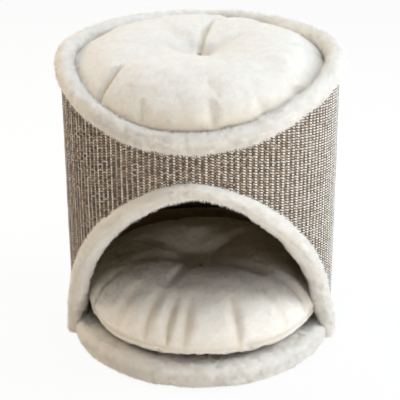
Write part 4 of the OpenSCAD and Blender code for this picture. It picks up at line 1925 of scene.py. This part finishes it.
@dataclass(frozen=True)
class TuftCord:
    """The twisted cord that ties a cushion's tuft, with a knot at both ends.

    Attributes:
        node: The CAD node that it replaces.
        body: The CAD body that it rides on.
        strand_r: Radius of one of its two strands.
        pitch: Length of one turn of the twist.
        knot_r: Middle radius of a knot's loops.
        end_clear: Distance that the strands keep from the ends of the CAD tie.
        knot_clear: Distance that the knots' middles keep from them.
        knot_rise: Half height of a knot's line.
        sides: Count of vertices round a strand.
    """

    node: str
    body: Body
    strand_r: float = 0.00075
    pitch: float = 0.009
    knot_r: float = 0.0026
    end_clear: float = 0.001
    knot_clear: float = 0.0011
    knot_rise: float = 0.0006
    sides: int = 8

    def build(self, material: bpy.types.Material) -> bpy.types.Object:
        """Makes two twisted strands and the loops of both knots.

        A strand is a helix of its own radius round the cord's axis. A knot is a trefoil line,
        pressed flat. Each line carries a round section.

        Args:
            material: Its finish.

        Returns:
            The cord.
        """
        low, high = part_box(self.node)
        x, y = (low.x + high.x) / 2.0, (low.y + high.y) / 2.0
        z = np.linspace(low.z + self.end_clear, high.z - self.end_clear, 240)
        lines = []
        for start in (0.0, math.pi):
            a = 2.0 * math.pi * z / self.pitch + start
            strand = np.stack([x + self.strand_r * np.cos(a), y + self.strand_r * np.sin(a), z], axis=1)
            lines.append((strand, False))
        t = np.linspace(0.0, 2.0 * math.pi, 90, endpoint=False)
        flat = (2.0 + np.cos(3.0 * t)) / 3.0 * self.knot_r * 1.15
        for level in (low.z + self.knot_clear, high.z - self.knot_clear):
            height = level + self.knot_rise * np.sin(3.0 * t)
            knot = np.stack([x + flat * np.cos(2.0 * t), y + flat * np.sin(2.0 * t), height], axis=1)
            lines.append((knot, True))
        verts, faces, total = [], [], 0
        for line, loop in lines:
            part, quads = self.tube(line, loop)
            verts.append(part)
            faces.append(quads + total)
            total += len(part)
        mesh = new_mesh(self.node + "_cord", np.concatenate(verts), np.concatenate(faces))
        return new_piece(mesh, material, self.body, [self.node])

    def tube(self, line: Array, loop: bool) -> tuple[Array, Array]:
        """Carries a round section along a line.

        Args:
            line: Points of the line.
            loop: Whether it closes on itself.

        Returns:
            Vertices, and quads that point outwards.
        """
        ahead = np.roll(line, -1, axis=0) - np.roll(line, 1, axis=0) if loop else np.gradient(line, axis=0)
        way = unit(ahead)
        across = np.where(np.abs(way[:, 2:]) > 0.9, [[1.0, 0.0, 0.0]], [[0.0, 0.0, 1.0]])
        side = unit(np.cross(way, across))
        other = np.cross(way, side)
        a = np.linspace(0.0, 2.0 * math.pi, self.sides, endpoint=False)[None, :, None]
        ring = line[:, None] + self.strand_r * (np.cos(a) * side[:, None] + np.sin(a) * other[:, None])
        if not loop:
            first, last = (np.repeat(end[:, None], self.sides, axis=1) for end in (line[:1], line[-1:]))
            ring = np.concatenate([first, ring, last])
        return ring.reshape(-1, 3), grid_quads(len(ring), self.sides, loop, True)


TOP_CUSHION = Cushion(
    "top_cushion", Body.TOP_CUSHION, (-0.002, 0.0, 0.3455), 0.1800, 0.107, 0.030, 3.6, 0.018, 0.028,
    folds=(
        Fold(176.0, 0.004, 0.118, 0.012, 0.0034, -4.0),
        Fold(121.0, 0.006, 0.080, 0.005, 0.0065, 6.0),
        Fold(-92.0, 0.004, 0.055, 0.004, 0.006, -6.0),
        Fold(98.0, 0.004, 0.050, 0.003, 0.006, 6.0),
        Fold(-84.0, 0.030, 0.150, 0.0030, 0.018, -8.0),
        Fold(-50.0, 0.138, 0.205, 0.013, 0.0052, 8.0),
        Fold(-64.0, 0.030, 0.135, 0.0042, 0.013, 14.0),
        Fold(30.0, 0.010, 0.080, 0.0020, 0.016),
        Fold(70.0, 0.020, 0.110, 0.0022, 0.016),
        Fold(-140.0, 0.010, 0.100, 0.0030, 0.014),
    ),
    gathers=((-150.0, 0.004), (-118.0, 0.003), (-22.0, 0.002), (8.0, 0.0032), (30.0, 0.0016),
             (52.0, 0.0022), (95.0, 0.003), (140.0, 0.005), (165.0, 0.004)),
    lobes=((-165.0, 0.10, 0.006, 0.05), (140.0, 0.11, 0.004, 0.05), (-110.0, 0.11, 0.004, 0.05),
           (-30.0, 0.135, 0.005, 0.036), (22.0, 0.140, 0.004, 0.030), (68.0, 0.135, 0.006, 0.040),
           (-78.0, 0.130, 0.004, 0.034), (112.0, 0.120, 0.005, 0.034)),
    seed=71, blades=48000, fibre=0.0040, lock=0.0046, tousled=0.42, dome_root=0.41, seam_rise=0.044,
    power_rise=4.5, press=0.008)
DEN_CUSHION = Cushion(
    "den_cushion", Body.DEN_CUSHION, (0.003, -0.005, 0.0348), 0.1765, 0.087, 0.018, 3.1, 0.017, 0.034,
    folds=(
        Fold(-27.0, 0.012, 0.105, 0.0065, 0.0075, 2.0),
        Fold(60.0, 0.010, 0.110, 0.0030, 0.011),
        Fold(140.0, 0.010, 0.100, 0.0022, 0.012),
        Fold(-120.0, 0.010, 0.110, 0.0025, 0.012),
        Fold(-75.0, 0.020, 0.120, 0.0026, 0.013),
    ),
    gathers=((-27.0, 0.010), (-15.5, 0.011), (-6.0, 0.008), (19.0, 0.008), (-43.0, 0.006), (45.0, 0.004),
             (62.0, 0.004), (-66.0, 0.004), (100.0, 0.004), (-110.0, 0.004), (150.0, 0.004), (-160.0, 0.004)),
    lobes=((20.0, 0.09, 0.004, 0.05), (-60.0, 0.09, 0.004, 0.05)),
    seed=81, gather_width=0.0068, power_rise=3.0, seam_rise=0.02)


# Stage


COOL = (0.88, 0.945, 1.0)
WARM = (1.0, 0.83, 0.62)


@dataclass(frozen=True)
class Lamp:
    """A square soft box.

    Attributes:
        name: Its name.
        place: Where it hangs.
        size: Its side.
        power: Its power in watts.
        colour: Its colour.
    """

    name: str
    place: tuple[float, float, float]
    size: float
    power: float
    colour: Colour

    def hang(self, aim: Sequence[float]) -> None:
        """Puts it into the scene.

        Args:
            aim: What it points at.
        """
        data = bpy.data.lights.new(self.name, "AREA")
        data.shape, data.size, data.energy, data.color = "SQUARE", self.size, self.power, self.colour
        lamp = bpy.data.objects.new(self.name, data)
        lamp.location = self.place
        lamp.rotation_euler = (Vector(aim) - Vector(self.place)).to_track_quat("-Z", "Y").to_euler()
        bpy.context.scene.collection.objects.link(lamp)


@dataclass(frozen=True)
class Studio:
    """Camera, lights and floor.

    Attributes:
        eye: The camera's place.
        ahead: Its way.
        roll: Its turn about that way, in radians.
        lens: Its focal length in millimetres.
        sensor: The width of its sensor in millimetres.
        room_light: Colour of the light from all round.
        room_strength: Strength of that light.
        floor_colour: Colour of the floor.
        floor_white: Share of plain white in what the camera sees of the floor.
        floor_half: Half the floor's side.
        floor_z: Its height, just under the felt pads.
        aim: What the lamps point at.
        lamps: The soft boxes.
    """

    eye: tuple[float, float, float] = (0.0815, -1.7603, 0.9942)
    ahead: tuple[float, float, float] = (-0.0430, 0.9126, -0.4066)
    roll: float = math.radians(-0.307)
    lens: float = 115.13
    sensor: float = 36.0
    room_light: Colour = (1.0, 0.87, 0.70)
    room_strength: float = 0.02
    floor_colour: Colour = (0.96, 0.955, 0.95)
    floor_white: float = 0.92
    floor_half: float = 3.0
    floor_z: float = -0.0002
    aim: tuple[float, float, float] = (0.0, 0.0, 0.25)
    lamps: tuple[Lamp, ...] = (
        Lamp("top", (0.0, 0.1, 2.3), 2.8, 17.0, (0.89, 0.95, 1.0)),
        Lamp("top_back", (0.2, 1.2, 2.0), 1.2, 13.2, (0.86, 0.935, 1.0)),
        Lamp("key", (0.9, -0.8, 2.0), 1.3, 7.0, COOL),
        Lamp("high_front", (-0.15, -1.4, 1.7), 0.6, 4.5, (0.97, 0.98, 1.0)),
        Lamp("right", (2.2, 0.3, 0.9), 0.9, 18.5, COOL),
        Lamp("high_right", (2.0, 0.0, 1.6), 0.9, 19.5, COOL),
        Lamp("low_right", (1.5, -1.8, 0.3), 0.4, 13.0, (0.985, 1.0, 0.995)),
        Lamp("front", (-0.3, -2.6, 0.22), 0.4, 10.5, WARM),
        Lamp("left", (-2.0, 0.6, 1.2), 1.2, 29.0, WARM),
    )

    def camera(self) -> None:
        """Places the camera at the photograph's point of view."""
        ahead = Vector(self.ahead).normalized()
        right = ahead.cross(Vector((0.0, 0.0, 1.0))).normalized()
        up = right.cross(ahead)
        c, s = math.cos(self.roll), math.sin(self.roll)
        turned = Matrix((c * right + s * up, c * up - s * right, -ahead)).transposed().to_4x4()
        data = bpy.data.cameras.new("camera")
        data.lens, data.sensor_width, data.sensor_fit = self.lens, self.sensor, "HORIZONTAL"
        camera = bpy.data.objects.new("camera", data)
        camera.matrix_world = Matrix.Translation(self.eye) @ turned
        bpy.context.scene.collection.objects.link(camera)
        bpy.context.scene.camera = camera

    def seen_rays(self, tree: NodeTree) -> bpy.types.NodeSocket:
        """One for the rays that show the background itself, and 0 for those that light things.

        Args:
            tree: The tree that gets the nodes.

        Returns:
            Socket of that number.
        """
        path = tree.node("LightPath")
        shown = tree.math("MAXIMUM", path.outputs["Is Camera Ray"], path.outputs["Is Glossy Ray"])
        return tree.math("MAXIMUM", shown, path.outputs["Is Transmission Ray"])

    def room(self) -> None:
        """White all round for the camera, and a plain level of soft light for the object."""
        world = bpy.data.worlds.new("room")
        bpy.context.scene.world = world
        world.use_nodes = True
        tree = NodeTree(world.node_tree)
        light = tree.node("Background", {"Color": rgba(self.room_light), "Strength": self.room_strength})
        white = tree.node("Background", {"Color": (1.0, 1.0, 1.0, 1.0), "Strength": 1.0})
        both = tree.node("MixShader", {0: self.seen_rays(tree), 1: light.outputs[0], 2: white.outputs[0]})
        tree.feed(tree.node("OutputWorld").inputs[0], both.outputs[0])

    def floor(self) -> None:
        """A pale floor that keeps a faint shadow."""
        corners = np.array([[-1.0, -1.0], [1.0, -1.0], [1.0, 1.0], [-1.0, 1.0]]) * self.floor_half
        verts = np.concatenate([corners, np.full((4, 1), self.floor_z)], axis=1)
        mesh = new_mesh("floor", verts, np.array([[0, 1, 2, 3]]))
        material = bpy.data.materials.new("pale_floor")
        material.use_nodes = True
        tree = NodeTree(material.node_tree)
        matt = tree.node("BsdfDiffuse", {"Color": rgba(self.floor_colour)})
        white = tree.node("Emission", {"Color": (1.0, 1.0, 1.0, 1.0), "Strength": 1.0})
        share = tree.math("MULTIPLY", self.seen_rays(tree), self.floor_white)
        both = tree.node("MixShader", {0: share, 1: matt.outputs[0], 2: white.outputs[0]})
        tree.feed(tree.node("OutputMaterial").inputs[0], both.outputs[0])
        mesh.materials.append(material)
        floor = bpy.data.objects.new("floor", mesh)
        bpy.context.scene.collection.objects.link(floor)

    def build(self) -> None:
        """Sets up the whole stage."""
        bpy.context.scene.view_settings.view_transform = "Standard"
        self.camera()
        self.room()
        self.floor()
        for lamp in self.lamps:
            lamp.hang(self.aim)


def dress_cad_nodes() -> None:
    """Gives the CAD nodes that stay their finishes: boards, tube, felt, foam and screws."""
    for node, finish in CAD_FINISHES.items():
        set_finish(node, finish.material())
    steel = ScrewFinish().material()
    for node in ("base_screws", "shelf_screws"):
        set_finish(node, steel)


def set_finish(node: str, material: bpy.types.Material) -> None:
    """Puts a material on a CAD node.

    Args:
        node: The node's name.
        material: Its finish.
    """
    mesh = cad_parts[node].data
    mesh.materials.clear()
    mesh.materials.append(material)
    LOG.info("%s wears %s", node, material.name)


def main() -> None:
    """Builds the stage and every piece in order."""
    logging.basicConfig(level=logging.INFO, format="%(name)s: %(message)s")
    Studio().build()
    cream, cream_fibres, den_shade_plush = CREAM.cloth(), CREAM.fibres(), SHADED_TAUPE.cloth()
    mat = SisalMat()
    mat.build(SisalFinish(mat.ribs, mat.top_z / mat.bead).material())
    RolledTrim(Line.RIM, 560, 1.75, (0.508, 0.722), 21, 36000).build(cream, cream_fibres)
    RolledTrim(Line.ARCH, 400, 1.0, (0.5,), 24, 26000).build(cream, cream_fibres)
    Linings().build(den_shade_plush, cream)
    PlushBase().build(cream, cream_fibres)
    BedFloor().build(cream)
    cord = CordFinish().material()
    for cushion in (TOP_CUSHION, DEN_CUSHION):
        cushion.build(cream, cream_fibres)
        TuftCord(cushion.name + "_tie", cushion.body).build(cord)
    dress_cad_nodes()


if __name__ == "__main__":
    main()
